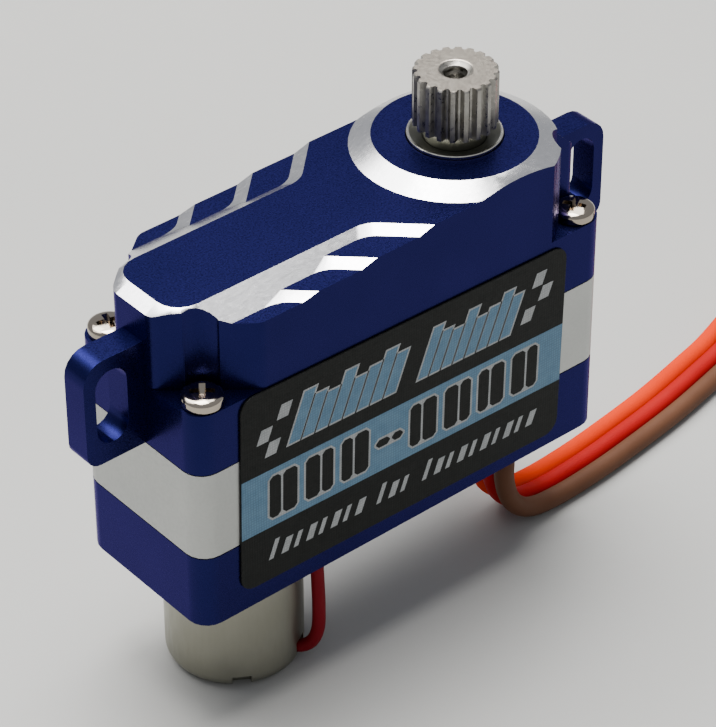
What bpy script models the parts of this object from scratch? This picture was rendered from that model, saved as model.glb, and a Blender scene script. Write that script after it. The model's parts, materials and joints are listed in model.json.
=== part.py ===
"""A slim servo motor with a three-part aluminium case, a coreless motor hanging out of its base and a
five-stage gear train to a splined output shaft.

Sizes are in millimetres, and the shape functions turn them into metres. The origin is in the middle of
the case's plan, on the surface that the motor can stands on. +X runs along the case towards the output
shaft, +Y across its thickness and +Z up the output shaft.
"""

import math

import bmesh
import bpy
from mathutils import Matrix, Vector

MM = 0.001
COLLECTION = "servo_motor"
SMOOTH_UNDER = math.radians(35)

# Case
CASE_LENGTH = 27.86
CASE_WIDTH = 10.0
CASE_CORNER = 1.22
END = CASE_LENGTH / 2
SIDE = CASE_WIDTH / 2
WALL = 0.8
SEAM = 0.03  # half the gap at each joint between two case parts
Z_BASE = 7.5
Z_FLOOR = Z_BASE + WALL
Z_LOWER_SEAM = 12.0
Z_DECK = 16.6
Z_UPPER_SEAM = 17.43
Z_LEDGE = 21.2
Z_CAVITY = 24.6
Z_PLATEAU = 26.1
Z_DISC = 26.7
FIT = 0.05  # gap round a piece that is held by its neighbour

# Inside of the case: wide between the screw posts, narrow past them
POST_X = 11.2
POST_Y = 2.4
INNER_END = END - WALL
INNER_SIDE = SIDE - WALL

CAVITY_END = -10.6
CAVITY_SIDE_X = -9.2
CAVITY_END_HALF = 1.8
WALL_END_HALF = 1.54
WALL_SIDE_X = -9.66

# Screws
SCREW_X = 12.6
SCREW_Y = 3.85
SCREW_SHANK = 0.5
SCREW_HEAD = 1.08
SCREW_RIM = 0.42
SCREW_DOME = 0.3
SCREW_TIP = 9.0
SCREW_POINT = 0.4
SCALLOP = 1.33
CROSS_HALF = 0.68
CROSS_THIN = 0.14
CROSS_DEPTH = 0.15

# Top of the case
SLOPE = math.tan(math.radians(27.5))
CROWN_HALF = 2.55
CROWN_END = -13.15
CROWN_CORNER = 1.4
SHELVES = (25.3, 25.52, 25.8, Z_PLATEAU)
STEP_FEET = (-7.02, -3.2, 0.62)  # where each step starts, at y = SIDE
STEP_RUN = 1.03
STEP_LEAN = 1.05  # how far a step moves along x for each millimetre away from the middle
BEYOND = 40.0  # past everything, for the far ends of cutters
CROWN_REACH = 30.0
DISC_RADIUS = 4.43
BOSS_RADIUS = 5.6
NECK_HALF = 2.45
NECK_TOP_X = 12.5
NECK_TOP_Z = 25.7
NECK_FALL = 0.96

# Lugs
LUG_REACH = 17.6
LUG_HALF = 0.8
LUG_LOW = 17.5
LUG_HIGH = 23.85
SLOT_NEAR = 14.95
SLOT_FAR = 16.9
SLOT_LOW = 18.6
SLOT_HIGH = 23.05

# Label
LABEL_LENGTH = 22.2
LABEL_HEIGHT = 12.4
LABEL_CORNER = 0.9
LABEL_THICKNESS = 0.1
LABEL_X = -0.25
LABEL_Z = 14.75
LABEL_TILT = math.radians(1.2)

# Axes of the train, all at y = 0
MOTOR_X = -8.1
PIN_A_X = -3.1
PIN_B_X = 2.0
OUTPUT_X = 7.4

# Motor
CAN_RADIUS = 3.8
CAN_WALL = 0.3
CAN_TOP = 16.5
CAN_ROUND = 0.8
MOTOR_SHAFT_RADIUS = 0.4
BUSH_BORE = 0.44
MOTOR_SHAFT_LOW = 0.6
MOTOR_SHAFT_TOP = 19.2
LEAD_AZIMUTH = math.radians(58)
NOTCH_AZIMUTH = math.radians(-122.5)

BODY_NOTCH = (0.52, 0.9)  # half width, height
LEAD_NOTCH = (0.55, 1.45)
MAGNET_RADII = (0.75, 1.95)
MAGNET_LEVELS = (3.7, 16.0)
REAR_BUSH = (1.0, 0.4, 1.3)  # radius, low, high
FRONT_BUSH = (1.2, 16.12, 17.0)
CAN_MOUTH = 1.25
CAP_BORE = 1.03
CAP_HIGH = 1.35
WINDING = ((2.9, 15.2), (2.9, 2.9), (0.9, 2.9), (0.9, 1.5), (0.43, 1.5), (0.43, 3.3), (2.25, 3.3), (2.25, 15.2))
BRUSH_NEAR = 0.97
BRUSH_FAR = 1.2
BRUSH_HALF = 0.7
BRUSH_LEVELS = (1.42, 2.5)

# Gears
PRESSURE = math.radians(20)
BACKLASH = 0.12
PIN_RADIUS = 0.4
PIN_HIGH = 25.3
PRESS_FIT = 0.03  # gap round a shaft or a pin in its hole
GEAR_BORE = 0.45
FINE = 0.2
COARSE = 0.24
HUB_RADIUS = 0.8
HUB_LOW = 17.55
OVERLAP = 0.05  # how far a pinion starts inside its wheel

# Teeth, and the low and high faces, of each gear
MOTOR_PINION = (12, 17.75, 18.95)
WHEEL_1, PINION_1 = (38, 17.95, 18.75), (12, 18.75, 19.95)
WHEEL_2, PINION_2 = (39, 19.05, 19.85), (12, 19.85, 21.15)
WHEEL_3, PINION_3 = (39, 20.15, 21.0), (13, 21.0, 22.4)
WHEEL_4, PINION_4 = (38, 21.35, 22.25), (14, 22.25, 24.3)
OUTPUT_WHEEL = (31, 22.5, 24.1)

# Output shaft
JOURNAL_LOW = 1.1
JOURNAL_MID = 1.15
WHEEL_SEAT = 1.4
JOURNAL_TOP = 1.9
SPLINE_TEETH = 20
SPLINE_TIP = 2.27
SPLINE_ROOT = 2.0
SPLINE_LOW = 27.6
SHAFT_TOP = 30.65
SHAFT_LOW = 11.2
SPLINE_CHAMFER = 0.15
TAPPED_RADIUS = 0.7
TAPPED_DEPTH = 5.0
COUNTERSINK = 0.95
MID_STEP = 17.5
SEAT_LOW = 22.4
SEAT_HIGH = 24.2
SHAFT_OPENING = 2.62
WASHER_RADIUS = 2.56
WASHER_LEVELS = (26.45, 26.9)

# Bearings: bore, inner race, ball circle, ball, inside and outside of the outer race, low, high
UPPER_BEARING = (JOURNAL_TOP + PRESS_FIT, 2.25, 2.58, 0.27, 2.91, 3.2, 24.7, 26.3)
LOWER_BEARING = (JOURNAL_LOW + PRESS_FIT, 1.38, 1.68, 0.24, 1.98, 2.2, 15.9, 17.3)
UPPER_BALLS = 8
LOWER_BALLS = 7
CAGE_HALF = 0.35
SEAT_CLEAR = 0.05
SEAT_RIM = 3.0
UNDER_SHAFT = 1.6

# Position sensor round the foot of the output shaft
POT_BODY = (
    (1.55, 13.0), (3.3, 13.0), (3.3, 9.85), (0.6, 9.85), (0.6, 10.5), (2.9, 10.5), (2.9, 12.5), (1.55, 12.5),
)
WIPER_BORE = JOURNAL_LOW + PRESS_FIT
POT_WIPER = ((1.4, 13.2), (1.4, 11.6), (2.6, 11.6), (2.6, 11.0), (WIPER_BORE, 11.0), (WIPER_BORE, 13.2))

# Circuit board: low and high corners of each box
BOARD_BOX = ((-3.3, -4.0, 8.9), (11.0, 4.0, 9.7))
CONTROLLER_BOX = ((-2.9, -3.4, 9.75), (0.4, -0.1, 10.65))
DRIVER_BOX = ((0.9, -3.2, 9.75), (3.5, -0.6, 10.65))
CAPACITOR = (1.1, 9.75, 12.0)  # radius, low, high
CAPACITOR_AT = (-0.6, 2.3)

# Servo lead
WIRE = 1.0  # each wire's solid, a little under its real 1.15
PITCH = 1.15
PLUG_PITCH = 2.54
EXIT_X = 9.3
EXIT_Y = -1.4
LEAD_POINTS = 2.6  # spacing of the points along a wire
MOTOR_WIRE = 0.72

# Route of the lead's middle wire: x, y, z, the roll of the flat lead in degrees, and its pitch
LEAD_ROUTE = (
    (9.3, -1.4, 8.5, 0, PITCH),
    (9.3, -1.4, 6.4, 0, PITCH),
    (9.35, -1.4, 4.1, 0, PITCH),
    (9.9, -1.42, 2.2, 0, PITCH),
    (11.2, -1.45, 0.98, 0, PITCH),
    (13.3, -1.45, 0.62, 0, PITCH),
    (16.5, -1.3, 0.6, 0, PITCH),
    (20.0, -0.9, 0.6, 0, PITCH),
    (24.0, -0.3, 0.6, 0, PITCH),
    (28.0, 0.55, 0.6, 0, PITCH),
    (31.0, 1.3, 0.6, 0, PITCH),
    (34.5, 2.4, 0.85, 10, PITCH),
    (38.0, 3.6, 1.55, 50, PITCH),
    (41.4, 4.4, 2.03, 84, PITCH),
    (44.6, 4.6, 2.08, 90, PITCH),
)
TAIL_ROUTE = (
    (74.0, -4.6, 2.08, 90, PITCH),
    (75.8, -4.4, 2.0, 80, PITCH),
    (78.0, -3.5, 1.75, 45, 1.3),
    (80.4, -2.0, 1.35, 12, 1.6),
    (83.0, -0.8, 1.25, 0, 2.0),
    (85.5, -0.2, 1.25, 0, 2.4),
    (87.5, 0.0, 1.25, 0, PLUG_PITCH),
    (89.5, 0.0, 1.25, 0, PLUG_PITCH),
)
MOTOR_LEAD_ROUTE = (
    (-5.3, -3.7, 8.5),
    (-5.3, -3.7, 7.4),
    (-5.27, -3.75, 5.5),
    (-5.25, -3.8, 3.6),
    (-5.35, -3.85, 2.2),
    (-5.62, -3.72, 1.35),
    (-6.0, -3.35, 0.92),
    (-6.4, -2.85, 0.82),
)

# Hank of the spare lead: three passes on edge, one beside the other
HANK_LOW = 0.35
HANK_HIGH = 3.82
HANK_NEAR = 43.3
HANK_FAR = 75.3
HANK_HALF = 5.2
TIE_X = 59.3
TIE_WIDTH = 1.6
TIE_THICK = 0.28

# Plug
PLUG_X = 87.1
PLUG_LENGTH = 13.6
PLUG_WIDTH = 7.7
PLUG_HEIGHT = 2.5
CHANNEL = 1.7
CONTACT = 1.4
CONTACT_HOLE = 0.8
PLUG_FACE = 0.8  # thickness of the plug's closed front
CONTACT_BACK = 9.6  # how far behind the plug's front a contact starts


def clear_scene():
    for thing in list(bpy.data.objects):
        bpy.data.objects.remove(thing)


def make_collection(name):
    made = bpy.data.collections.new(name)
    bpy.context.scene.collection.children.link(made)
    return made


clear_scene()
PARTS = make_collection(COLLECTION)
CUTTERS = make_collection(COLLECTION + "_cutters")
CUTTERS.hide_render = True


def material(name, color, roughness, metallic=0.0):
    made = bpy.data.materials.new(name)
    made.use_nodes = True
    shader = made.node_tree.nodes["Principled BSDF"]
    shader.inputs["Base Color"].default_value = (*color, 1.0)
    shader.inputs["Roughness"].default_value = roughness
    shader.inputs["Metallic"].default_value = metallic
    return made


BLUE = material("blue_anodise", (0.02, 0.04, 0.22), 0.35, 0.8)
BARE = material("bare_aluminium", (0.75, 0.75, 0.76), 0.3, 1.0)
STEEL = material("steel", (0.55, 0.54, 0.52), 0.3, 1.0)
BRIGHT = material("bright_steel", (0.8, 0.8, 0.8), 0.15, 1.0)
BRASS = material("brass", (0.75, 0.55, 0.2), 0.3, 1.0)
BLACK = material("black_plastic", (0.02, 0.02, 0.02), 0.5)
STICKER = material("sticker", (0.05, 0.05, 0.05), 0.45)
COPPER = material("copper_winding", (0.7, 0.3, 0.15), 0.4, 1.0)
BOARD = material("board_green", (0.02, 0.2, 0.08), 0.5)
MAGNET = material("magnet_grey", (0.3, 0.3, 0.32), 0.4, 1.0)
BROWN_WIRE = material("brown_wire", (0.16, 0.07, 0.04), 0.4)
RED_WIRE = material("red_wire", (0.42, 0.02, 0.03), 0.4)
ORANGE_WIRE = material("orange_wire", (0.85, 0.13, 0.05), 0.4)
WIRES = (("brown", -1, BROWN_WIRE), ("red", 0, RED_WIRE), ("orange", 1, ORANGE_WIRE))


# --- Shape functions -------------------------------------------------------------------------------


def place(name, mesh, look, at=(0.0, 0.0)):
    """An object of this mesh. With no look it is a cutter, which is left out of the part."""
    made = bpy.data.objects.new(name, mesh)
    made.location = (at[0] * MM, at[1] * MM, 0.0)
    if look is None:
        CUTTERS.objects.link(made)
        made.hide_render = True
        made.display_type = 'WIRE'
    else:
        PARTS.objects.link(made)
        mesh.materials.append(look)
    return made


def smooth(mesh):
    mesh.shade_smooth()
    mesh.set_sharp_from_angle(angle=SMOOTH_UNDER)


def mesh_of(name, shape):
    mesh = bpy.data.meshes.new(name)
    shape.to_mesh(mesh)
    shape.free()
    return mesh


def arc(center, radius, start, end, steps):
    """Points on an arc, from one angle to another in radians, both ends included."""
    angles = [start + (end - start) * step / steps for step in range(steps + 1)]
    return [(center[0] + radius * math.cos(a), center[1] + radius * math.sin(a)) for a in angles]


def rounded(corners, steps=5):
    """A closed outline through (x, y, radius) corners, each turned by an arc of its radius."""
    points = []
    for index, (x, y, radius) in enumerate(corners):
        here = Vector((x, y))
        if radius == 0:
            points.append((x, y))
            continue
        back = (Vector(corners[index - 1][:2]) - here).normalized()
        ahead = (Vector(corners[(index + 1) % len(corners)][:2]) - here).normalized()
        half = back.angle(ahead) / 2
        reach = radius / math.tan(half)
        center = here + (back + ahead).normalized() * radius / math.sin(half)
        first = here + back * reach - center
        sweep = first.angle_signed(here + ahead * reach - center)
        start = math.atan2(first.y, first.x)
        points += arc(center, radius, start, start - sweep, steps)
    return points


def rectangle(low_x, high_x, low_y, high_y, radius=0.0, steps=5):
    corners = ((low_x, low_y), (high_x, low_y), (high_x, high_y), (low_x, high_y))
    return rounded([(x, y, radius) for x, y in corners], steps)


def plate(name, outlines, low, high, look=None, at=(0.0, 0.0)):
    """A flat piece between two heights: the first outline, less the outlines after it."""
    curve = bpy.data.curves.new(name, 'CURVE')
    curve.dimensions = '2D'
    curve.fill_mode = 'BOTH'
    curve.extrude = (high - low) / 2
    for outline in outlines:
        spline = curve.splines.new('POLY')
        spline.points.add(len(outline) - 1)
        spline.use_cyclic_u = True
        for point, (x, y) in zip(spline.points, outline):
            point.co = (x, y, 0.0, 1.0)
    guide = bpy.data.objects.new(name + "_guide", curve)
    CUTTERS.objects.link(guide)
    graph = bpy.context.evaluated_depsgraph_get()
    flat = bpy.data.meshes.new_from_object(guide.evaluated_get(graph))
    bpy.data.objects.remove(guide)
    shape = bmesh.new()
    shape.from_mesh(flat)
    bmesh.ops.remove_doubles(shape, verts=shape.verts, dist=0.001)
    bmesh.ops.translate(shape, verts=shape.verts, vec=(0.0, 0.0, (low + high) / 2))
    bmesh.ops.scale(shape, verts=shape.verts, vec=(MM, MM, MM))
    bmesh.ops.recalc_face_normals(shape, faces=shape.faces)
    mesh = mesh_of(name, shape)
    smooth(mesh)
    return place(name, mesh, look, at)


def cylinder(name, radius, low, high, look=None, at=(0.0, 0.0), segments=24):
    shape = bmesh.new()
    middle = Matrix.Translation((0.0, 0.0, (low + high) / 2 * MM))
    bmesh.ops.create_cone(
        shape, cap_ends=True, segments=segments, radius1=radius * MM, radius2=radius * MM,
        depth=(high - low) * MM, matrix=middle,
    )
    mesh = mesh_of(name, shape)
    smooth(mesh)
    return place(name, mesh, look, at)


def box(name, low, high, look=None):
    low, high = Vector(low) * MM, Vector(high) * MM
    shape = bmesh.new()
    size = Matrix.Diagonal((*(high - low), 1.0))
    bmesh.ops.create_cube(shape, size=1.0, matrix=Matrix.Translation((low + high) / 2) @ size)
    return place(name, mesh_of(name, shape), look)


def turned(name, profile, look=None, at=(0.0, 0.0), steps=24):
    """A turned piece. Its (radius, height) profile runs down the outer side and, on a ring, back up inside."""
    shape = bmesh.new()
    points = [shape.verts.new((radius * MM, 0.0, height * MM)) for radius, height in profile]
    for first, second in zip(points, points[1:]):
        shape.edges.new((first, second))
    if profile[0][0] > 0:
        shape.edges.new((points[-1], points[0]))
    made = place(name, mesh_of(name, shape), look, at)
    screw = made.modifiers.new("Turn", 'SCREW')
    screw.steps = steps
    screw.render_steps = steps
    screw.use_merge_vertices = True
    screw.merge_threshold = 1e-6
    screw.use_smooth_shade = False
    return made


def ring(name, inner, outer, low, high, look=None, at=(0.0, 0.0), steps=24):
    return turned(name, ((outer, high), (outer, low), (inner, low), (inner, high)), look, at, steps)


def prism(name, profile, start, along, look=None):
    """An (x, z) profile in the plane y = start, drawn out by a vector that may lean in x."""
    shape = bmesh.new()
    face = shape.faces.new([shape.verts.new((x * MM, start * MM, z * MM)) for x, z in profile])
    grown = bmesh.ops.extrude_face_region(shape, geom=[face])
    moved = [item for item in grown["geom"] if isinstance(item, bmesh.types.BMVert)]
    bmesh.ops.translate(shape, verts=moved, vec=Vector(along) * MM)
    bmesh.ops.recalc_face_normals(shape, faces=shape.faces)
    return place(name, mesh_of(name, shape), look)


def taper(name, lower, upper, low, high):
    """The solid between two outlines that have the same number of points."""
    shape = bmesh.new()
    loops = [
        [shape.verts.new((x * MM, y * MM, z * MM)) for x, y in outline]
        for outline, z in ((lower, low), (upper, high))
    ]
    for loop in loops:
        shape.faces.new(loop)
    for index in range(len(lower)):
        after = (index + 1) % len(lower)
        shape.faces.new((loops[0][index], loops[0][after], loops[1][after], loops[1][index]))
    bmesh.ops.recalc_face_normals(shape, faces=shape.faces)
    return place(name, mesh_of(name, shape), None)


def combine(target, other, operation='DIFFERENCE'):
    """Adds a Boolean to a piece; what it cuts or joins with must be a cutter."""
    modifier = target.modifiers.new(other.name, 'BOOLEAN')
    modifier.operation = operation
    modifier.solver = 'EXACT'
    modifier.object = other
    return target


def tube(name, points, diameter, look):
    """A wire through these points."""
    curve = bpy.data.curves.new(name, 'CURVE')
    curve.dimensions = '3D'
    curve.bevel_depth = diameter / 2 * MM
    curve.bevel_resolution = 2
    curve.use_fill_caps = True
    spline = curve.splines.new('POLY')
    spline.points.add(len(points) - 1)
    for point, place_at in zip(spline.points, points):
        point.co = (*(Vector(place_at) * MM), 1.0)
    made = bpy.data.objects.new(name, curve)
    curve.materials.append(look)
    PARTS.objects.link(made)
    return made


def between(a, b, c, d, t):
    """A Catmull-Rom curve from b to c."""
    return 0.5 * (2 * b + (c - a) * t + (2 * a - 5 * b + 4 * c - d) * t * t + (3 * b - a - 3 * c + d) * t ** 3)


def smooth_route(stops, spacing):
    """Points along a smooth curve through the stops, which may hold more values than a place."""
    fine = 24
    dense = []
    last = len(stops) - 1
    for index in range(last):
        a, b = stops[max(index - 1, 0)], stops[index]
        c, d = stops[index + 1], stops[min(index + 2, last)]
        for step in range(fine + (index == last - 1)):
            t = step / fine
            dense.append([
                between(*values, t) for values in zip(a, b, c, d)
            ])
    run = [0.0]
    for first, second in zip(dense, dense[1:]):
        run.append(run[-1] + math.dist(first[:3], second[:3]))
    count = max(2, round(run[-1] / spacing))
    picked, index = [], 0
    for step in range(count + 1):
        wanted = run[-1] * step / count
        while index < len(run) - 2 and run[index + 1] < wanted:
            index += 1
        share = (wanted - run[index]) / max(run[index + 1] - run[index], 1e-9)
        picked.append([p + (q - p) * share for p, q in zip(dense[index], dense[index + 1])])
    return picked


def wire_points(route, place_in_lead, spacing=LEAD_POINTS):
    """One wire of the flat lead: place_in_lead is -1, 0 or 1 across it."""
    middle = smooth_route(route, spacing)
    points = []
    for index, (x, y, z, roll, pitch) in enumerate(middle):
        before, after = middle[max(index - 1, 0)], middle[min(index + 1, len(middle) - 1)]
        heading = Vector((after[0] - before[0], after[1] - before[1]))
        side = Vector((-heading.y, heading.x)).normalized() if heading.length > 0.05 else Vector((0.0, 1.0))
        across = place_in_lead * pitch * math.cos(math.radians(roll))
        above = place_in_lead * pitch * math.sin(math.radians(roll))
        points.append((x + side.x * across, y + side.y * across, z + above))
    return points


# --- Case ------------------------------------------------------------------------------------------


def case_plan():
    return rectangle(-END, END, -SIDE, SIDE, CASE_CORNER)


def inner_plan():
    """The inside of the middle case and the cover, which leaves a screw post in each corner."""
    quarter = ((INNER_END, POST_Y, 0.4), (POST_X, POST_Y + 0.2, 0.6), (POST_X, INNER_SIDE, 0.6))
    right_back = list(quarter)
    left_back = [(-x, y, r) for x, y, r in reversed(quarter)]
    left_front = [(-x, -y, r) for x, y, r in quarter]
    right_front = [(x, -y, r) for x, y, r in reversed(quarter)]
    return rounded(right_back + left_back + left_front + right_front, 3)


def corners():
    """The four screw positions, near side first."""
    return [(x, y) for y in (-SCREW_Y, SCREW_Y) for x in (-SCREW_X, SCREW_X)]


def screw_holes(target, name, low, high):
    for number, at in enumerate(corners(), 1):
        combine(target, cylinder(f"{name}_hole_{number}", SCREW_SHANK + FIT, low, high, at=at, segments=12))


def make_bottom_cover():
    cover = plate("bottom_cover", [case_plan()], Z_BASE, Z_LOWER_SEAM - SEAM, BLUE)
    combine(cover, plate("cover_inside", [inner_plan()], Z_FLOOR, Z_LOWER_SEAM + 1))
    combine(cover, cylinder("cover_motor_hole", CAN_RADIUS + FIT, Z_BASE - 1, Z_FLOOR + 1, at=(MOTOR_X, 0)))
    combine(cover, plate("cover_lead_hole", [grommet_plan(FIT)], Z_BASE - 1, Z_FLOOR + 1))
    for number, side in enumerate((-1, 1), 1):
        x, y = MOTOR_LEAD_ROUTE[0][0], MOTOR_LEAD_ROUTE[0][1] * -side
        name, radius = f"cover_wire_hole_{number}", MOTOR_WIRE / 2 + 0.15
        combine(cover, cylinder(name, radius, Z_BASE - 1, Z_FLOOR + 1, at=(x, y), segments=12))
    screw_holes(cover, "cover", SCREW_TIP - 0.2, Z_LOWER_SEAM + 1)


def make_middle_case():
    case = plate("middle_case", [case_plan()], Z_LOWER_SEAM + SEAM, Z_UPPER_SEAM - SEAM, BARE)
    inside = plate("middle_inside", [inner_plan()], Z_LOWER_SEAM - 1, Z_DECK)
    seat_rim = cylinder("middle_seat_rim", SEAT_RIM, Z_DECK - 1.2, Z_DECK + 0.2, at=(OUTPUT_X, 0))
    combine(inside, seat_rim)
    combine(case, inside)
    combine(case, cylinder("middle_motor_hole", UNDER_SHAFT, Z_DECK - 1, Z_UPPER_SEAM + 1, at=(MOTOR_X, 0)))
    outer_race, race_low = LOWER_BEARING[5:7]
    radius, low = outer_race + FIT, race_low - SEAT_CLEAR
    combine(case, cylinder("middle_bearing_seat", radius, low, Z_UPPER_SEAM + 1, at=(OUTPUT_X, 0)))
    combine(case, cylinder("middle_shaft_hole", UNDER_SHAFT, Z_DECK - 2, Z_UPPER_SEAM + 1, at=(OUTPUT_X, 0)))
    for name, x in (("a", PIN_A_X), ("b", PIN_B_X)):
        radius = PIN_RADIUS + PRESS_FIT
        combine(case, cylinder(f"middle_pin_hole_{name}", radius, Z_DECK + 0.1, Z_UPPER_SEAM + 1, at=(x, 0)))
    screw_holes(case, "middle", Z_LOWER_SEAM - 1, Z_UPPER_SEAM + 1)


def upper_plan():
    """The case above its ledges: cut back at each corner for a screw, and waisted to the neck."""
    wall_start = (-END, -WALL_END_HALF, 0.9)
    wall_end = (WALL_SIDE_X, -SIDE, 1.0)
    first = math.atan2(-SIDE, math.sqrt(BOSS_RADIUS ** 2 - SIDE ** 2))
    last = math.asin(-NECK_HALF / BOSS_RADIUS)
    boss = [(x, y, 0.0) for x, y in arc((OUTPUT_X, 0.0), BOSS_RADIUS, first, last, 8)]
    near = [wall_start, wall_end] + boss + [(END, -NECK_HALF, 0.6)]
    far = [(x, -y, radius) for x, y, radius in reversed(near)]
    return rounded(near + far)


def step_profile(start):
    """The shelves' outline in x and z where |y| = start."""
    shift = (start - SIDE) * STEP_LEAN
    points = [(-BEYOND, Z_LEDGE - 1), (BEYOND, Z_LEDGE - 1), (BEYOND, Z_PLATEAU)]
    for step in reversed(range(len(STEP_FEET))):
        foot = STEP_FEET[step] + shift
        points += [(foot + STEP_RUN, SHELVES[step + 1]), (foot, SHELVES[step])]
    return points + [(-BEYOND, SHELVES[0])]


def crown_plan(grow):
    """The plateau's outline, grown outwards on its three sloping sides."""
    end, half, radius = CROWN_END - grow, CROWN_HALF + grow, CROWN_CORNER + grow
    return rounded(((end, half, radius), (CROWN_REACH, half, 0), (CROWN_REACH, -half, 0), (end, -half, radius)))


def top_form():
    """Everything under the case's stepped and sloping top."""
    spread = (Z_PLATEAU - Z_LEDGE + 1) / SLOPE
    form = taper("top_form", crown_plan(spread), crown_plan(0.0), Z_LEDGE - 1, Z_PLATEAU)
    across = SIDE + 1
    for name, side in (("near", -1), ("far", 1)):
        along = (across * STEP_LEAN, side * across, 0.0)
        combine(form, prism(f"top_steps_{name}", step_profile(1.0), side, along), 'UNION')
    return form


def make_top_case():
    case = plate("top_case", [upper_plan()], Z_LEDGE - 0.5, Z_PLATEAU + 1, BLUE)
    combine(case, top_form(), 'INTERSECT')

    cone = (
        (0.0, Z_DISC), (DISC_RADIUS, Z_DISC), (BOSS_RADIUS, Z_PLATEAU), (BOSS_RADIUS, Z_LEDGE), (0.0, Z_LEDGE),
    )
    boss = turned("top_boss", cone, at=(OUTPUT_X, 0.0), steps=48)
    combine(boss, box("top_boss_sides", (0, -SIDE, 0), (BEYOND, SIDE, BEYOND)), 'INTERSECT')

    start, end = NECK_TOP_X - 1, NECK_TOP_X + 4
    wedge = ((start, NECK_TOP_Z + NECK_FALL), (end, NECK_TOP_Z - NECK_FALL * 4), (end, BEYOND), (start, BEYOND))
    neck_cut = prism("top_neck_cut", wedge, -4.0, (0.0, 8.0, 0.0))
    combine(neck_cut, cylinder("top_neck_keep", BOSS_RADIUS, 10, BEYOND + 1, at=(OUTPUT_X, 0.0), segments=48))
    combine(case, neck_cut)
    combine(case, boss, 'UNION')

    for number, at in enumerate(corners(), 1):
        combine(case, cylinder(f"top_scallop_{number}", SCALLOP, Z_LEDGE - 2, BEYOND, at=at, segments=24))
    combine(case, plate("top_base", [case_plan()], Z_UPPER_SEAM + SEAM, Z_LEDGE), 'UNION')

    for name, side in (("left", -1), ("right", 1)):
        combine(case, make_lug(name, side), 'UNION')

    round_end = OUTPUT_X + INNER_SIDE
    near = [(CAVITY_END, -CAVITY_END_HALF, 0.5), (CAVITY_SIDE_X, -INNER_SIDE, 0.5)]
    near.append((round_end, -INNER_SIDE, INNER_SIDE - 0.01))
    far = [(x, -y, radius) for x, y, radius in reversed(near)]
    combine(case, plate("top_cavity", [rounded(near + far, 8)], Z_UPPER_SEAM - 1, Z_CAVITY))
    outer_race, _, race_high = UPPER_BEARING[5:]
    for name, radius, high in (("bearing_seat", outer_race + FIT, race_high + SEAT_CLEAR),
                               ("shaft_hole", SHAFT_OPENING, Z_DISC + 1)):
        combine(case, cylinder(f"top_{name}", radius, Z_CAVITY - 1, high, at=(OUTPUT_X, 0.0), segments=32))
    for name, x in (("a", PIN_A_X), ("b", PIN_B_X)):
        radius = PIN_RADIUS + PRESS_FIT
        combine(case, cylinder(f"top_pin_hole_{name}", radius, Z_CAVITY - 1, PIN_HIGH + 0.05, at=(x, 0.0)))
    screw_holes(case, "top", Z_UPPER_SEAM - 1, Z_LEDGE + 1)


def make_lug(name, side):
    """A thin ear on the end of the case with a tall slot through it."""
    inner = END - 0.5
    outer = ((LUG_REACH, LUG_LOW, 0.8), (LUG_REACH, LUG_HIGH, 1.3))
    outline = rounded(((inner, LUG_LOW, 0), *outer, (inner, LUG_HIGH, 0)))
    half_slot = (SLOT_FAR - SLOT_NEAR) / 2 - 0.01
    slot = rectangle(SLOT_NEAR, SLOT_FAR, SLOT_LOW, SLOT_HIGH, half_slot)
    lug = plate(f"lug_{name}", [outline, slot], -LUG_HALF, LUG_HALF)
    stand_up = Matrix.Rotation(math.radians(90), 4, 'X')
    turn = Matrix.Rotation(math.pi if side < 0 else 0.0, 4, 'Z')
    lug.data.transform(turn @ stand_up)
    return lug


def make_screws():
    head_low = Z_LEDGE + SEAM
    rim = head_low + SCREW_RIM
    dome = [(SCREW_HEAD * math.cos(a), rim + SCREW_DOME * math.sin(a)) for a in map(math.radians, (60, 35, 0))]
    shank = [(SCREW_SHANK, head_low), (SCREW_SHANK, SCREW_TIP + SCREW_POINT), (0.0, SCREW_TIP)]
    profile = [(0.0, rim + SCREW_DOME)] + dome + [(SCREW_HEAD, head_low)] + shank
    for number, at in enumerate(corners(), 1):
        screw = turned(f"case_screw_{number}", profile, STEEL, at, steps=16)
        x, y = at
        for arm, wide, deep in (("a", CROSS_HALF, CROSS_THIN), ("b", CROSS_THIN, CROSS_HALF)):
            low, high = (x - wide, y - deep, rim - CROSS_DEPTH), (x + wide, y + deep, rim + 1)
            combine(screw, box(f"screw_slot_{number}{arm}", low, high))


def make_label():
    half_length, half_height = LABEL_LENGTH / 2, LABEL_HEIGHT / 2
    outline = rectangle(-half_length, half_length, -half_height, half_height, LABEL_CORNER)
    label = plate("label", [outline], 0.0, LABEL_THICKNESS, STICKER)
    stand_up = Matrix.Rotation(math.radians(90), 4, 'X')
    tilt = Matrix.Rotation(LABEL_TILT, 4, 'Y')
    shift = Matrix.Translation(Vector((LABEL_X, -SIDE - SEAM, LABEL_Z)) * MM)
    label.data.transform(shift @ tilt @ stand_up)


# --- Motor -----------------------------------------------------------------------------------------


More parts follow.
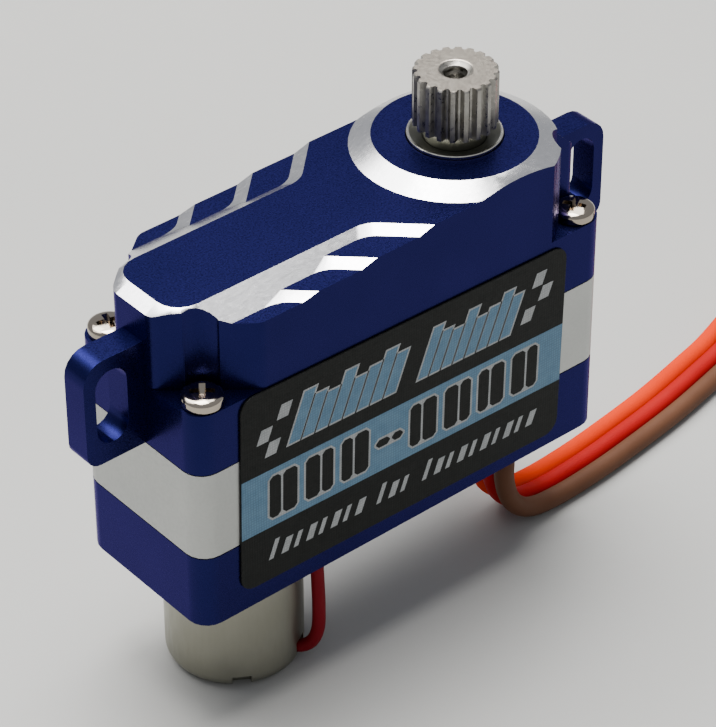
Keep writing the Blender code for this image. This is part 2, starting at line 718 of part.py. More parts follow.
def make_motor():
    at = (MOTOR_X, 0.0)
    inner = CAN_RADIUS - CAN_WALL
    lip = CAN_RADIUS - CAN_ROUND
    rim = arc((lip, CAN_ROUND), CAN_ROUND, 0.0, -math.pi / 2, 3)
    profile = [(CAN_MOUTH, CAN_TOP), (CAN_RADIUS - 0.25, CAN_TOP), (CAN_RADIUS, CAN_TOP - 0.25)] + rim
    profile += [(lip - 0.35, 0.0), (lip - 0.35, CAN_WALL), (lip, CAN_WALL), (inner, CAN_ROUND)]
    profile += [(inner, CAN_TOP - 0.4), (CAN_MOUTH, CAN_TOP - 0.4)]
    can = turned("motor_can", profile, STEEL, at, steps=32)
    leads = (("red", -LEAD_AZIMUTH, LEAD_NOTCH), ("black", LEAD_AZIMUTH, LEAD_NOTCH))
    for name, azimuth, (half, height) in (("front", NOTCH_AZIMUTH, BODY_NOTCH), *leads):
        notch = box(f"can_notch_{name}", (3.0, -half, -1.0), (5.0, half, height))
        spin = Matrix.Translation((MOTOR_X * MM, 0.0, 0.0)) @ Matrix.Rotation(azimuth, 4, 'Z')
        notch.data.transform(spin)
        combine(can, notch)

    cap_outer = inner - FIT
    cap_profile = (
        (cap_outer, CAP_HIGH), (cap_outer, 0.88), (lip, 0.38), (CAP_BORE, 0.38), (CAP_BORE, CAP_HIGH),
    )
    cap = turned("motor_end_cap", cap_profile, BLACK, at)
    for name, azimuth in (("red", -LEAD_AZIMUTH), ("black", LEAD_AZIMUTH)):
        notch = box(f"cap_notch_{name}", (2.5, -0.6, -1.0), (5.0, 0.6, 3.0))
        notch.data.transform(Matrix.Translation((MOTOR_X * MM, 0.0, 0.0)) @ Matrix.Rotation(azimuth, 4, 'Z'))
        combine(cap, notch)

    ring("motor_rear_bush", BUSH_BORE, *REAR_BUSH, BRASS, at, 16)
    ring("motor_front_bush", BUSH_BORE, *FRONT_BUSH, BRASS, at, 16)
    ring("motor_magnet", *MAGNET_RADII, *MAGNET_LEVELS, MAGNET, at)
    cylinder("motor_shaft", MOTOR_SHAFT_RADIUS, MOTOR_SHAFT_LOW, MOTOR_SHAFT_TOP, BRIGHT, at, 20)
    turned("motor_winding", WINDING, COPPER, at)
    bottom, top = BRUSH_LEVELS
    left, right = MOTOR_X - BRUSH_HALF, MOTOR_X + BRUSH_HALF
    for number, side in enumerate((-1, 1), 1):
        low, high = sorted((side * BRUSH_NEAR, side * BRUSH_FAR))
        box(f"motor_brush_{number}", (left, low, bottom), (right, high, top), BRASS)
    for name, side, look in (("red", 1, RED_WIRE), ("black", -1, BLACK)):
        route = [(x, y * side, z) for x, y, z in MOTOR_LEAD_ROUTE]
        tube(f"motor_lead_{name}", smooth_route(route, 1.1), MOTOR_WIRE, look)


# --- Gears -----------------------------------------------------------------------------------------


def involute(angle):
    return math.tan(angle) - angle


def gear_plan(teeth, module, phase, flank=1):
    """A spur gear's outline with involute flanks, thinned by the backlash, one tooth at the phase angle."""
    pitch = teeth * module / 2
    base = pitch * math.cos(PRESSURE)
    root, tip = pitch - 1.05 * module, pitch + 0.8 * module
    half = (math.pi / 2 - BACKLASH / module) / teeth + involute(PRESSURE)
    radii = [root] + [max(base, root) + (tip - max(base, root)) * step / flank for step in range(1, flank + 1)]
    sides = [(radius, half - involute(math.acos(min(1.0, base / radius)))) for radius in radii]
    points = []
    for tooth in range(teeth):
        middle = phase + 2 * math.pi * tooth / teeth
        flanks = [(radius, middle - width) for radius, width in sides]
        flanks += [(radius, middle + width) for radius, width in reversed(sides)]
        points += [(radius * math.cos(angle), radius * math.sin(angle)) for radius, angle in flanks]
    return points


def compound_gear(name, x, wheel, phase, pinion, pinion_module, pinion_phase, look):
    """A wheel with a pinion on top. Each is (teeth, low, high)."""
    at = (x, 0.0)
    teeth, low, high = wheel
    gear = plate(name, [gear_plan(teeth, FINE, phase)], low, high, look, at)
    teeth, low, high = pinion
    outline = gear_plan(teeth, pinion_module, pinion_phase, flank=2)
    combine(gear, plate(name + "_pinion", [outline], low - OVERLAP, high, at=at), 'UNION')
    return gear


def bore_gear(gear, name, x, low, high):
    combine(gear, cylinder(name + "_bore", GEAR_BORE, low - 1, high + 1, at=(x, 0.0), segments=24))


def faces_right(teeth):
    """The phase of a gear driven from its left: a gap, not a tooth, points to -X."""
    return math.pi + math.pi / teeth


def faces_left(teeth):
    """The phase of a gear driven from its right: a gap points to +X."""
    return math.pi / teeth


def make_train():
    teeth, low, high = MOTOR_PINION
    pinion = plate("motor_pinion", [gear_plan(teeth, FINE, 0.0, flank=2)], low, high, BRASS, (MOTOR_X, 0.0))
    radius = MOTOR_SHAFT_RADIUS + PRESS_FIT
    combine(pinion, cylinder("motor_pinion_bore", radius, low - 1, high + 1, at=(MOTOR_X, 0.0), segments=20))
    gears = (
        ("gear_1", PIN_A_X, WHEEL_1, faces_right(WHEEL_1[0]), PINION_1, FINE, 0.0, BRASS),
        ("gear_2", PIN_B_X, WHEEL_2, faces_right(WHEEL_2[0]), PINION_2, FINE, math.pi, STEEL),
        ("gear_3", PIN_A_X, WHEEL_3, faces_left(WHEEL_3[0]), PINION_3, FINE, 0.0, STEEL),
        ("gear_4", PIN_B_X, WHEEL_4, faces_right(WHEEL_4[0]), PINION_4, COARSE, 0.0, STEEL),
    )
    for name, x, wheel, phase, pinion, module, pinion_phase, look in gears:
        gear = compound_gear(name, x, wheel, phase, pinion, module, pinion_phase, look)
        if name == "gear_2":
            hub = cylinder(name + "_hub", HUB_RADIUS, HUB_LOW, wheel[1] + 0.2, at=(x, 0.0), segments=24)
            combine(gear, hub, 'UNION')
        bore_gear(gear, name, x, HUB_LOW, pinion[2])
    for name, x in (("a", PIN_A_X), ("b", PIN_B_X)):
        cylinder(f"gear_pin_{name}", PIN_RADIUS, Z_DECK + 0.15, PIN_HIGH, BRIGHT, (x, 0.0), 20)
    teeth, low, high = OUTPUT_WHEEL
    outline = gear_plan(teeth, COARSE, faces_right(teeth))
    output = plate("output_gear", [outline], low, high, STEEL, (OUTPUT_X, 0.0))
    combine(output, cylinder("output_gear_bore", WHEEL_SEAT + PRESS_FIT, low - 1, high + 1, at=(OUTPUT_X, 0.0)))


# --- Output shaft, bearings and sensor -------------------------------------------------------------


def make_bearing(name, sizes, balls):
    at = (OUTPUT_X, 0.0)
    bore, inner, pitch, ball, outer_inside, outer, low, high = sizes
    middle = (low + high) / 2
    ring(f"{name}_inner", bore, inner, low, high, BRIGHT, at)
    ring(f"{name}_outer", outer_inside, outer, low, high, BRIGHT, at)
    thin = ball * 0.45
    cage_low, cage_high = middle - CAGE_HALF, middle + CAGE_HALF
    cage = ring(f"{name}_balls", pitch - thin, pitch + thin, cage_low, cage_high, BRASS, at, 16)
    for number in range(balls):
        angle = 2 * math.pi * number / balls
        shape = bmesh.new()
        bmesh.ops.create_uvsphere(shape, u_segments=6, v_segments=4, radius=ball * MM)
        spot = (pitch * math.cos(angle) * MM, pitch * math.sin(angle) * MM, middle * MM)
        bmesh.ops.translate(shape, verts=shape.verts, vec=spot)
        ball_name = f"{name}_ball_{number}"
        combine(cage, place(ball_name, mesh_of(ball_name, shape), None, at), 'UNION')


def spline_plan():
    points = []
    for tooth in range(SPLINE_TEETH):
        start = 2 * math.pi * tooth / SPLINE_TEETH
        for share, radius in ((0.0, SPLINE_ROOT), (0.2, SPLINE_ROOT), (0.45, SPLINE_TIP), (0.75, SPLINE_TIP)):
            angle = start + 2 * math.pi * share / SPLINE_TEETH
            points.append((radius * math.cos(angle), radius * math.sin(angle)))
    return points


def make_output():
    at = (OUTPUT_X, 0.0)
    profile = (
        (0.0, SPLINE_LOW + 0.2), (JOURNAL_TOP, SPLINE_LOW + 0.2), (JOURNAL_TOP, SEAT_HIGH),
        (WHEEL_SEAT, SEAT_HIGH), (WHEEL_SEAT, SEAT_LOW), (JOURNAL_MID, SEAT_LOW), (JOURNAL_MID, MID_STEP),
        (JOURNAL_LOW, MID_STEP), (JOURNAL_LOW, SHAFT_LOW), (0.0, SHAFT_LOW),
    )
    shaft = turned("output_shaft", profile, STEEL, at)
    spline = plate("shaft_spline", [spline_plan()], SPLINE_LOW, SHAFT_TOP, at=at)
    outside = SPLINE_TIP + 0.05
    land, shoulder = SPLINE_TIP - SPLINE_CHAMFER, SHAFT_TOP - SPLINE_CHAMFER - 0.05
    low = SPLINE_LOW - 1
    lead_in = ((0.0, SHAFT_TOP), (land, SHAFT_TOP), (outside, shoulder), (outside, low), (0.0, low))
    combine(spline, turned("spline_lead_in", lead_in, at=at, steps=32), 'INTERSECT')
    combine(shaft, spline, 'UNION')
    sink = COUNTERSINK - TAPPED_RADIUS
    above, bottom = SHAFT_TOP + 0.5, SHAFT_TOP - TAPPED_DEPTH
    hole = (
        (0.0, above), (COUNTERSINK, above), (COUNTERSINK, SHAFT_TOP), (TAPPED_RADIUS, SHAFT_TOP - sink),
        (TAPPED_RADIUS, bottom), (0.0, bottom - 0.4),
    )
    combine(shaft, turned("shaft_tapped_hole", hole, at=at))
    ring("shaft_washer", JOURNAL_TOP + PRESS_FIT, WASHER_RADIUS, *WASHER_LEVELS, BRIGHT, at, 32)

    make_bearing("upper_bearing", UPPER_BEARING, UPPER_BALLS)
    make_bearing("lower_bearing", LOWER_BEARING, LOWER_BALLS)
    turned("pot_body", POT_BODY, BLACK, at)
    turned("pot_wiper", POT_WIPER, BRASS, at)


# --- Electronics and lead --------------------------------------------------------------------------


def grommet_plan(grow):
    reach_x, reach_y = 1.05 + grow, 2.25 + grow
    return rectangle(EXIT_X - reach_x, EXIT_X + reach_x, EXIT_Y - reach_y, EXIT_Y + reach_y, 0.9)


def make_electronics():
    box("circuit_board", *BOARD_BOX, BOARD)
    box("controller_chip", *CONTROLLER_BOX, BLACK)
    box("driver_chip", *DRIVER_BOX, BLACK)
    cylinder("board_capacitor", *CAPACITOR, MAGNET, CAPACITOR_AT, 24)


def make_lead():
    grommet = plate("lead_grommet", [grommet_plan(0.0)], Z_BASE, Z_FLOOR + 0.1, BLACK)
    for name, across, _ in WIRES:
        at = (EXIT_X, EXIT_Y + across * PITCH)
        radius = WIRE / 2 + PRESS_FIT
        combine(grommet, cylinder(f"grommet_hole_{name}", radius, Z_BASE - 1, Z_FLOOR + 1, at=at, segments=12))
    for name, across, look in WIRES:
        tube(f"lead_{name}", wire_points(LEAD_ROUTE, across), WIRE, look)
        tube(f"lead_tail_{name}", wire_points(TAIL_ROUTE, across), WIRE, look)
    hank = rectangle(HANK_NEAR, HANK_FAR, -HANK_HALF, HANK_HALF, HANK_HALF - 0.01, 10)
    plate("lead_hank", [hank], HANK_LOW, HANK_HIGH, RED_WIRE)

    half, high = HANK_HALF + 0.04, HANK_HIGH + 0.04
    tie_outer = rectangle(-half - TIE_THICK, half + TIE_THICK, 0.0, high + TIE_THICK, 0.4)
    tie_inner = rectangle(-half, half, TIE_THICK, high, 0.15)
    tie = plate("lead_tie", [tie_outer, tie_inner], -TIE_WIDTH / 2, TIE_WIDTH / 2, BLACK)
    stand_across = Matrix.Rotation(math.radians(90), 4, 'Z') @ Matrix.Rotation(math.radians(90), 4, 'X')
    tie.data.transform(Matrix.Translation((TIE_X * MM, 0.0, 0.0)) @ stand_across)


def bar(name, start, end, y, z, size, look=None):
    """A square bar along x."""
    reach = size / 2
    return box(name, (start, y - reach, z - reach), (end, y + reach, z + reach), look)


def make_plug():
    half = PLUG_WIDTH / 2
    housing = box("plug_housing", (PLUG_X, -half, 0.0), (PLUG_X + PLUG_LENGTH, half, PLUG_HEIGHT), BLACK)
    middle = PLUG_HEIGHT / 2
    front = PLUG_X + PLUG_LENGTH
    for number, across in enumerate((-1, 0, 1), 1):
        y = across * PLUG_PITCH
        combine(housing, bar(f"plug_channel_{number}", PLUG_X - 1, front - PLUG_FACE, y, middle, CHANNEL))
        combine(housing, bar(f"plug_mouth_{number}", front - 2, front + 1, y, middle, CONTACT_HOLE))
        back = front - CONTACT_BACK
        contact = bar(f"plug_contact_{number}", back, front - PLUG_FACE - 0.2, y, middle, CONTACT, BRIGHT)
        combine(contact, bar(f"contact_bore_{number}", back - 1, front, y, middle, CONTACT_HOLE))


make_bottom_cover()
make_middle_case()
make_top_case()
make_screws()
make_label()
make_motor()
make_train()
make_output()
make_electronics()
make_lead()
make_plug()
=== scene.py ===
"""Looks of a slim servo motor: a blue anodised case with milled slopes, a steel splined shaft, a motor can
hanging out of the base and a three-wire lead, on a plain pale floor.

Lengths are written in millimetres and turned into metres by MM, apart from the stage, which is in metres.
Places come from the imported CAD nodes. On the label, u runs along it and v up it, from its middle.
"""

import json
import math

import bmesh
import bpy
from mathutils import Matrix, Vector


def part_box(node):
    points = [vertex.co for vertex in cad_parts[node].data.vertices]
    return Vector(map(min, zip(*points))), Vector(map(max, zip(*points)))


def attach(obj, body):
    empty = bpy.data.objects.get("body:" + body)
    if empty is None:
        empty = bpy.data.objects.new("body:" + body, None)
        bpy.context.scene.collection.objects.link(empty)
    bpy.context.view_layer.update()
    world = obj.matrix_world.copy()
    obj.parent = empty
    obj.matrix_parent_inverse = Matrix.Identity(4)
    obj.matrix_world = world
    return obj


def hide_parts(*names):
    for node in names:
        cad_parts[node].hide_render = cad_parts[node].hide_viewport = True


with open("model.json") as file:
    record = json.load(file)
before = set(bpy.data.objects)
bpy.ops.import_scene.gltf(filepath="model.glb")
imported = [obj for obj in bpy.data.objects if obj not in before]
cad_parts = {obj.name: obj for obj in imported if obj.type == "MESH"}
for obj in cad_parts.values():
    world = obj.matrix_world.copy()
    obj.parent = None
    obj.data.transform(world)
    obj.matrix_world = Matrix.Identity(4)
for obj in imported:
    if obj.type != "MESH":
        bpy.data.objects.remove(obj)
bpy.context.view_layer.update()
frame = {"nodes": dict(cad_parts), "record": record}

MM = 0.001
SMOOTH_UNDER = math.radians(32)
TOUCH = 0.01  # a distance too small to see
WELD_UNDER = 0.002  # corners closer than this are one corner
FLAT_UNDER = math.radians(1.0)  # faces that turn by less are one face

# Camera
CAMERA_AT = (-93.5, -111.8, 125.5)
CAMERA_AZIMUTH = math.radians(-40.13)
CAMERA_ELEVATION = math.radians(37.12)
CAMERA_ROLL = math.radians(-0.13)
CAMERA_LENS = 169.98
CAMERA_SENSOR = 36.0
CAMERA_CLIP = (0.01, 10.0)  # nearest and farthest, in metres

# Stage, in metres: each light's name, place, size, power and colour
FLOOR_HALF = 1.5
SKY_COLOR = (0.93, 0.95, 1.0)
SKY_STRENGTH = 0.46
LIGHTS = (
    ("softbox", (0.005, 0.045, 0.5), (0.24, 0.24), 2.9, (1.0, 0.985, 0.96)),
    ("back_light", (-0.12, 0.3, 0.45), (0.4, 0.25), 1.3, (1.0, 0.985, 0.96)),
    ("ceiling", (0.08, 0.22, 0.58), (0.66, 0.42), 5.6, (1.0, 0.99, 0.97)),
)

# Case, measured on its CAD nodes
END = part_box("middle_case")[1].x / MM
SCREW_RISE = 0.72  # height of a screw's head
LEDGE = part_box("case_screw_1")[1].z / MM - SCREW_RISE
SLACK = 0.05
LUG_START = END + 0.3
SLOPE_START = LEDGE + 1.0
SLOPE_RISES = (0.15, 0.985)  # least and most that a bare slope's normal may point up
EDGE = 0.05
LUG_EDGE = 0.17
BORDER_EDGE = 0.03
BORDER_TURN = 6.0  # least angle between a bare slope and the blue beside it, in degrees
STEP_FILLET = 0.55
STEP_RISE = 0.1  # least rise of a corner between a step and a slope
UPRIGHT_SHARE = 0.9  # least share of an upright edge's length that is rise

# Screws
HEAD_GROWTH = 0.03
HEAD_RIM = 0.4  # height of the head's upright side
RIM_GAP = 0.02
HEAD_FOOT = ((0.0, 0.06), (0.04, 0.01), (0.1, 0.0))  # how far in from the side, and height over the seat
DOME_POWER = 0.8
DOME_ANGLES = [math.radians(angle) for angle in (80, 65, 50, 38, 26, 14, 5)]
SHANK_RADIUS = 0.5
SHANK_POINT = 0.4
CROSS_TURNS = [math.radians(angle) for angle in (52, 30, 75, 12)]
CROSS_ENDS = ((0.3, 0.86, 0.21), (-0.5, 0.34, 0.1))  # height over the head, half length, half width

# Shaft
SHAFT_BOX = [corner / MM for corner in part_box("output_shaft")]
OUTPUT_X = (SHAFT_BOX[0].x + SHAFT_BOX[1].x) / 2
SHAFT_TOP = SHAFT_BOX[1].z
SHAFT_LOW = SHAFT_BOX[0].z
SPLINE_TEETH = 20
SPLINE_TIP = 2.27
SPLINE_ROOT = 1.98
SPLINE_LOW = 27.55
SPLINE_CHAMFER = 0.1
CHAMFER_BREAK = SPLINE_CHAMFER * 0.6
TOOTH_SPREAD = 0.72  # share of the pitch where a tooth ends at the root
TOOTH_FLANK = 0.34  # share of the pitch that its two flanks take
FACE_DROP = 0.03  # how far below the end face a rounded edge starts
FACE_RISE = 0.3  # least that the end face's normal points up
RING_GAP = 0.05  # an extra ring this far from an edge keeps the shading of the flat part flat
TAPPED = 0.7
COUNTERSINK = 0.88
THREAD_PITCH = 0.4
THREAD_DEPTH = 0.09
THREAD_STEPS = 8
THREAD_RINGS = 56
DRILL_POINT = 0.3

# Washer: its dished side, as the distance in from the rim and the depth below the top
WASHER_LOW, WASHER_TOP = (corner.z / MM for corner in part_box("shaft_washer"))
WASHER_DISH = ((0.0, 0.04), (0.04, 0.0), (0.1, 0.0), (0.16, 0.04), (0.5, 0.17))
DISH_DEPTH = 0.22
# how far in from the washer's rim its dish is painted in shade
DISH_PAINTED_SHADE_START = 0.2
NECK = 1.7  # radius of the shaft where it passes the washer
NECK_GAP = 0.04

# The shaft's steps below the spline: radius and top
SHAFT_STEPS = ((1.1, 17.5), (1.15, 22.4), (1.4, 24.2), (1.9, WASHER_LOW), (NECK, SPLINE_LOW))

# Motor
CAN_BOX = [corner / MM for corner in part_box("motor_can")]
MOTOR_X = (CAN_BOX[0].x + CAN_BOX[1].x) / 2
CAN_RADIUS = CAN_BOX[1].y
CAN_TOP = CAN_BOX[1].z
CAN_ROUND = 0.8
CAN_ROUND_STEPS = 10
CAN_WALL = 0.3
CAN_LID = 0.4
CAN_HOLE = 1.25
CAN_EDGE = 0.25
CAN_LIP = 0.35
CAN_RINGS = (4.0, 2.0)
CAN_NOTCHES = ((-122.5, 0.52, 0.9), (-58.0, 0.55, 1.45), (58.0, 0.55, 1.45))  # azimuth, half width, height
NOTCH_START, NOTCH_END = 3.0, 5.0
MOTOR_WIRE = 0.74
MOTOR_WIRE_STEP = 0.25

# Label
LABEL_BOX = [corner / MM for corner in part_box("label")]
LABEL_FACE = LABEL_BOX[0].y
LABEL_CENTER = (LABEL_BOX[0] + LABEL_BOX[1]) / 2
LABEL_LENGTH = 22.2
LABEL_TILT = math.radians(1.2)
LABEL_EDGE = 0.03
PRINT_LEAN = 0.37
SIDE_GROWTH = 1.1  # how much further a leaning side moves along u than its rim is wide
INK = 0.006  # how far each printed layer stands out
BAND_LOW, BAND_HIGH = -2.7, 1.05

# Label's upper row: two runs of bars, from one u to another, with checks beside them
BAR_RUNS = ((-8.0, -0.7), (0.7, 7.3))
BARS_IN_RUN = 8
BAR_LOW = 2.1
BAR_GAP = 0.16
BAR_RIM = 0.11
TALL_BAR = 2.85
SHORT_BAR = 2.1
BAR_STAGGER = 0.25
CHECK_SIZE = (0.74, 0.85)
CHECKS = ((-8.78, 4.0), (-10.08, 2.96), (-9.56, 1.97), (8.64, 4.37), (9.13, 3.39), (7.92, 2.33))

# Label's middle row: blocks that a slit splits in two, and one short block among them
BLOCK_STARTS = (-9.25, -6.85, -4.45, -2.1, 0.25, 2.65, 5.05, 7.45)
BLOCK_WIDTHS = (0.75, 0.95)
BLOCK_SPAN = (-2.15, 2.7)
SHORT_BLOCK = 3
SHORT_SPAN = (-1.1, 0.5)
BLOCK_SLIT = 0.14
BLOCK_NICK = 0.2
BLOCK_RIM = 0.13
RIM_NICK = 0.3

# Label's lower row: groups of dashes, each from a u and with a count
DASH_GROUPS = ((-9.3, 8), (-2.0, 3), (1.2, 10))
DASH_PITCH = 0.83
DASH_LOW = -4.85
DASH_WIDTHS = (0.3, 0.47)
DASH_HEIGHT = 0.92
FIRST_DASH = 1.2

# Lead
WIRE = 1.15
PITCH = 1.15
WIRE_STEP = 0.5
HANK_LEVEL = 2.08
HANK_PASS = 4.6
HANK_TURN = 2.3
HANK_START = 46.3
HANK_END = 72.3
TURN_STEPS = 18

# Plug: its windows run forward from WINDOW_BACK in front of its back
PLUG_PITCH = 2.54
WINDOW_BACK = 6.0
WINDOW_LENGTH = 3.2
WINDOW_HALF = 0.5
WINDOW_DEPTH = 0.3
GROOVE_DEPTH = 0.15
GROOVE_LOW = 0.9
GROOVE_HIGH = 1.6
GROOVE_STOP = 3.0
CUT_PAST = 0.5  # how far a cutter stands out of what it cuts

# Tie
TIE_EDGE = 0.08
TIE_OVERLAP = 0.02
TIE_HEAD_HALF = 1.25
TIE_HEAD_Y = (-1.1, 0.9)
TIE_HEAD_RISE = 1.15
TIE_STRIP_HALF = 0.75
TIE_STRIP_Y = (0.85, 2.6)
TIE_STRIP_RISE = (0.3, 0.6)

# Route of the lead's middle wire: x, y, z, the roll of the flat lead in degrees, and its pitch
LEAD_ROUTE = (
    (9.3, -1.4, 8.5, 0, PITCH),
    (9.3, -1.4, 6.4, 0, PITCH),
    (9.35, -1.4, 4.1, 0, PITCH),
    (9.9, -1.42, 2.2, 0, PITCH),
    (11.2, -1.45, 0.98, 0, PITCH),
    (13.3, -1.45, 0.62, 0, PITCH),
    (16.5, -1.3, 0.6, 0, PITCH),
    (20.0, -0.9, 0.6, 0, PITCH),
    (24.0, -0.3, 0.6, 0, PITCH),
    (28.0, 0.55, 0.6, 0, PITCH),
    (31.0, 1.3, 0.6, 0, PITCH),
    (34.5, 2.4, 0.85, 10, PITCH),
    (38.0, 3.6, 1.55, 50, PITCH),
    (41.4, 4.4, 2.03, 84, PITCH),
    (44.6, 4.6, 2.08, 90, PITCH),
)
TAIL_ROUTE = (
    (74.0, -4.6, 2.08, 90, PITCH),
    (75.8, -4.4, 2.0, 80, PITCH),
    (78.0, -3.5, 1.75, 45, 1.3),
    (80.4, -2.0, 1.35, 12, 1.6),
    (83.0, -0.8, 1.25, 0, 2.0),
    (85.5, -0.2, 1.25, 0, 2.4),
    (87.5, 0.0, 1.25, 0, PLUG_PITCH),
    (89.5, 0.0, 1.25, 0, PLUG_PITCH),
)
MOTOR_LEAD_ROUTE = (
    (-5.3, -3.7, 8.5),
    (-5.3, -3.7, 7.4),
    (-5.27, -3.75, 5.5),
    (-5.25, -3.8, 3.6),
    (-5.35, -3.85, 2.2),
    (-5.62, -3.72, 1.35),
    (-6.0, -3.35, 0.92),
    (-6.4, -2.85, 0.82),
)


# --- Camera, floor and light -----------------------------------------------------------------------


def make_camera():
    azimuth, elevation = CAMERA_AZIMUTH, CAMERA_ELEVATION
    right = Vector((math.cos(azimuth), math.sin(azimuth), 0.0))
    back = Vector((math.sin(azimuth) * math.cos(elevation), -math.cos(azimuth) * math.cos(elevation),
                   math.sin(elevation)))
    up = back.cross(right)
    across = right * math.cos(CAMERA_ROLL) + up * math.sin(CAMERA_ROLL)
    upright = up * math.cos(CAMERA_ROLL) - right * math.sin(CAMERA_ROLL)
    camera = bpy.data.objects.new("camera", bpy.data.cameras.new("camera"))
    bpy.context.scene.collection.objects.link(camera)
    camera.matrix_world = Matrix.Translation(Vector(CAMERA_AT) * MM) @ Matrix(
        (across, upright, back)).transposed().to_4x4()
    camera.data.sensor_fit = 'VERTICAL'
    camera.data.sensor_height = CAMERA_SENSOR
    camera.data.lens = CAMERA_LENS
    camera.data.clip_start, camera.data.clip_end = CAMERA_CLIP
    bpy.context.scene.camera = camera


def make_light(name, at, size, power, color):
    """A soft light that shines at the middle of the floor."""
    lamp = bpy.data.lights.new(name, 'AREA')
    lamp.shape = 'RECTANGLE'
    lamp.size, lamp.size_y = size
    lamp.energy = power
    lamp.color = color
    made = bpy.data.objects.new(name, lamp)
    bpy.context.scene.collection.objects.link(made)
    made.location = at
    made.rotation_euler = (-Vector(at)).to_track_quat('-Z', 'Y').to_euler()


def make_stage():
    shape = bmesh.new()
    bmesh.ops.create_grid(shape, x_segments=8, y_segments=8, size=FLOOR_HALF)
    mesh = bpy.data.meshes.new("floor")
    shape.to_mesh(mesh)
    shape.free()
    floor = bpy.data.objects.new("floor", mesh)
    bpy.context.scene.collection.objects.link(floor)
    mesh.materials.append(FLOOR)

    world = bpy.data.worlds.new("studio")
    bpy.context.scene.world = world
    world.use_nodes = True
    background = world.node_tree.nodes["Background"]
    background.inputs["Color"].default_value = (*SKY_COLOR, 1.0)
    background.inputs["Strength"].default_value = SKY_STRENGTH
    for light in LIGHTS:
        make_light(*light)


# --- Materials -------------------------------------------------------------------------------------


def add(tree, kind, settings=None, **inputs):
    """A shader node. Inputs are named as in Blender, with _ for a space, or number_3 for the fourth."""
    made = tree.nodes.new("ShaderNode" + kind)
    for key, value in (settings or {}).items():
        setattr(made, key, value)
    for key, value in inputs.items():
        place = int(key[7:]) if key.startswith("number_") else key.replace("_", " ")
        socket = made.inputs[place]
        if isinstance(value, bpy.types.NodeSocket):
            tree.links.new(value, socket)
        else:
            socket.default_value = value
    return made


def coords(tree, scale=(1.0, 1.0, 1.0), turn=0.0):
    place = add(tree, "TexCoord").outputs["Object"]
    return add(tree, "Mapping", Vector=place, Scale=scale, Rotation=(0.0, 0.0, turn)).outputs["Vector"]


def noise(tree, vector, scale, detail=2.0, roughness=0.5):
    made = add(tree, "TexNoise", Vector=vector, Scale=scale, Detail=detail, Roughness=roughness)
    return made.outputs["Fac"]


def mixed(tree, share, first, second):
    """A colour between two colours, each four numbers or a socket."""
    made = add(tree, "Mix", {"data_type": 'RGBA'}, number_0=share, number_6=first, number_7=second)
    return made.outputs[2]


def mapped(tree, value, low, high, to_low, to_high):
    made = add(tree, "MapRange", Value=value, From_Min=low, From_Max=high, To_Min=to_low, To_Max=to_high)
    return made.outputs["Result"]


def maths(tree, operation, first, second=0.0):
    return add(tree, "Math", {"operation": operation}, number_0=first, number_1=second).outputs[0]


def color_of(values):
    return (*values, 1.0)


NOISE_LOW, NOISE_HIGH = 0.3, 0.7  # the range that noise mostly keeps to


def surface(name, color, shade, roughness, metallic=0.0, grain=4000.0, stretch=(1.0, 1.0, 1.0),
            depth=0.004, spread=0.06, blotch=250.0, **inputs):
    """A finish whose colour drifts between two tones, with a fine grain in its relief and gloss."""
    made = bpy.data.materials.new(name)
    made.use_nodes = True
    tree = made.node_tree
    shader = tree.nodes["Principled BSDF"]
    fine = noise(tree, coords(tree, stretch), grain, 3.0)
    broad = noise(tree, coords(tree), blotch, 2.0)
    drift = mapped(tree, broad, NOISE_LOW, NOISE_HIGH, 0.0, 1.0)
    tree.links.new(mixed(tree, drift, color_of(color), color_of(shade)), shader.inputs["Base Color"])
    gloss = mapped(tree, fine, NOISE_LOW, NOISE_HIGH, roughness - spread, roughness + spread)
    tree.links.new(gloss, shader.inputs["Roughness"])
    relief = add(tree, "Bump", Strength=1.0, Distance=depth * MM, Height=fine)
    tree.links.new(relief.outputs["Normal"], shader.inputs["Normal"])
    shader.inputs["Metallic"].default_value = metallic
    for key, value in inputs.items():
        shader.inputs[key.replace("_", " ")].default_value = value
    return made


FLOOR = surface("pale_floor", (0.42, 0.42, 0.405), (0.40, 0.40, 0.39), 0.55, grain=900.0, depth=0.01,
                spread=0.05, blotch=30.0)
BLUE_GLANCE = (0.55, 0.5, 0.8, 1.0)
BLUE = surface("blue_anodise", (0.0062, 0.0072, 0.058), (0.0078, 0.0084, 0.066), 0.29, 0.88, grain=9000.0,
               depth=0.002, Specular_Tint=BLUE_GLANCE)
# Lighter blue for the eased upright edges of the top: partly wear, partly a painted highlight.
BLUE_WORN_EDGE_AND_HIGHLIGHT = surface("blue_anodise_worn_edge_and_painted_highlight", (0.012, 0.03, 0.16), (0.05, 0.07, 0.2), 0.34, 0.9, grain=5000.0,
                    Specular_Tint=BLUE_GLANCE)
MILLED = surface("milled_aluminium", (0.74, 0.74, 0.76), (0.68, 0.68, 0.7), 0.24, 1.0, grain=6000.0,
                 stretch=(0.5, 1.0, 1.0), depth=0.0015, spread=0.04)
BARE = surface("bare_aluminium", (0.43, 0.44, 0.425), (0.405, 0.415, 0.405), 0.46, 1.0, grain=6000.0,
               depth=0.002)
CAN = surface("can_nickel", (0.31, 0.305, 0.255), (0.28, 0.275, 0.225), 0.4, 1.0, grain=3500.0,
              stretch=(1.0, 1.0, 0.25), depth=0.002)
NICKEL = surface("screw_nickel", (0.42, 0.37, 0.31), (0.34, 0.29, 0.24), 0.1, 1.0, grain=2500.0, depth=0.002,
                 spread=0.04)
GEAR_STEEL = surface("gear_steel", (0.34, 0.33, 0.305), (0.25, 0.24, 0.22), 0.34, 1.0, grain=4000.0,
                     depth=0.004, spread=0.1, blotch=1500.0)
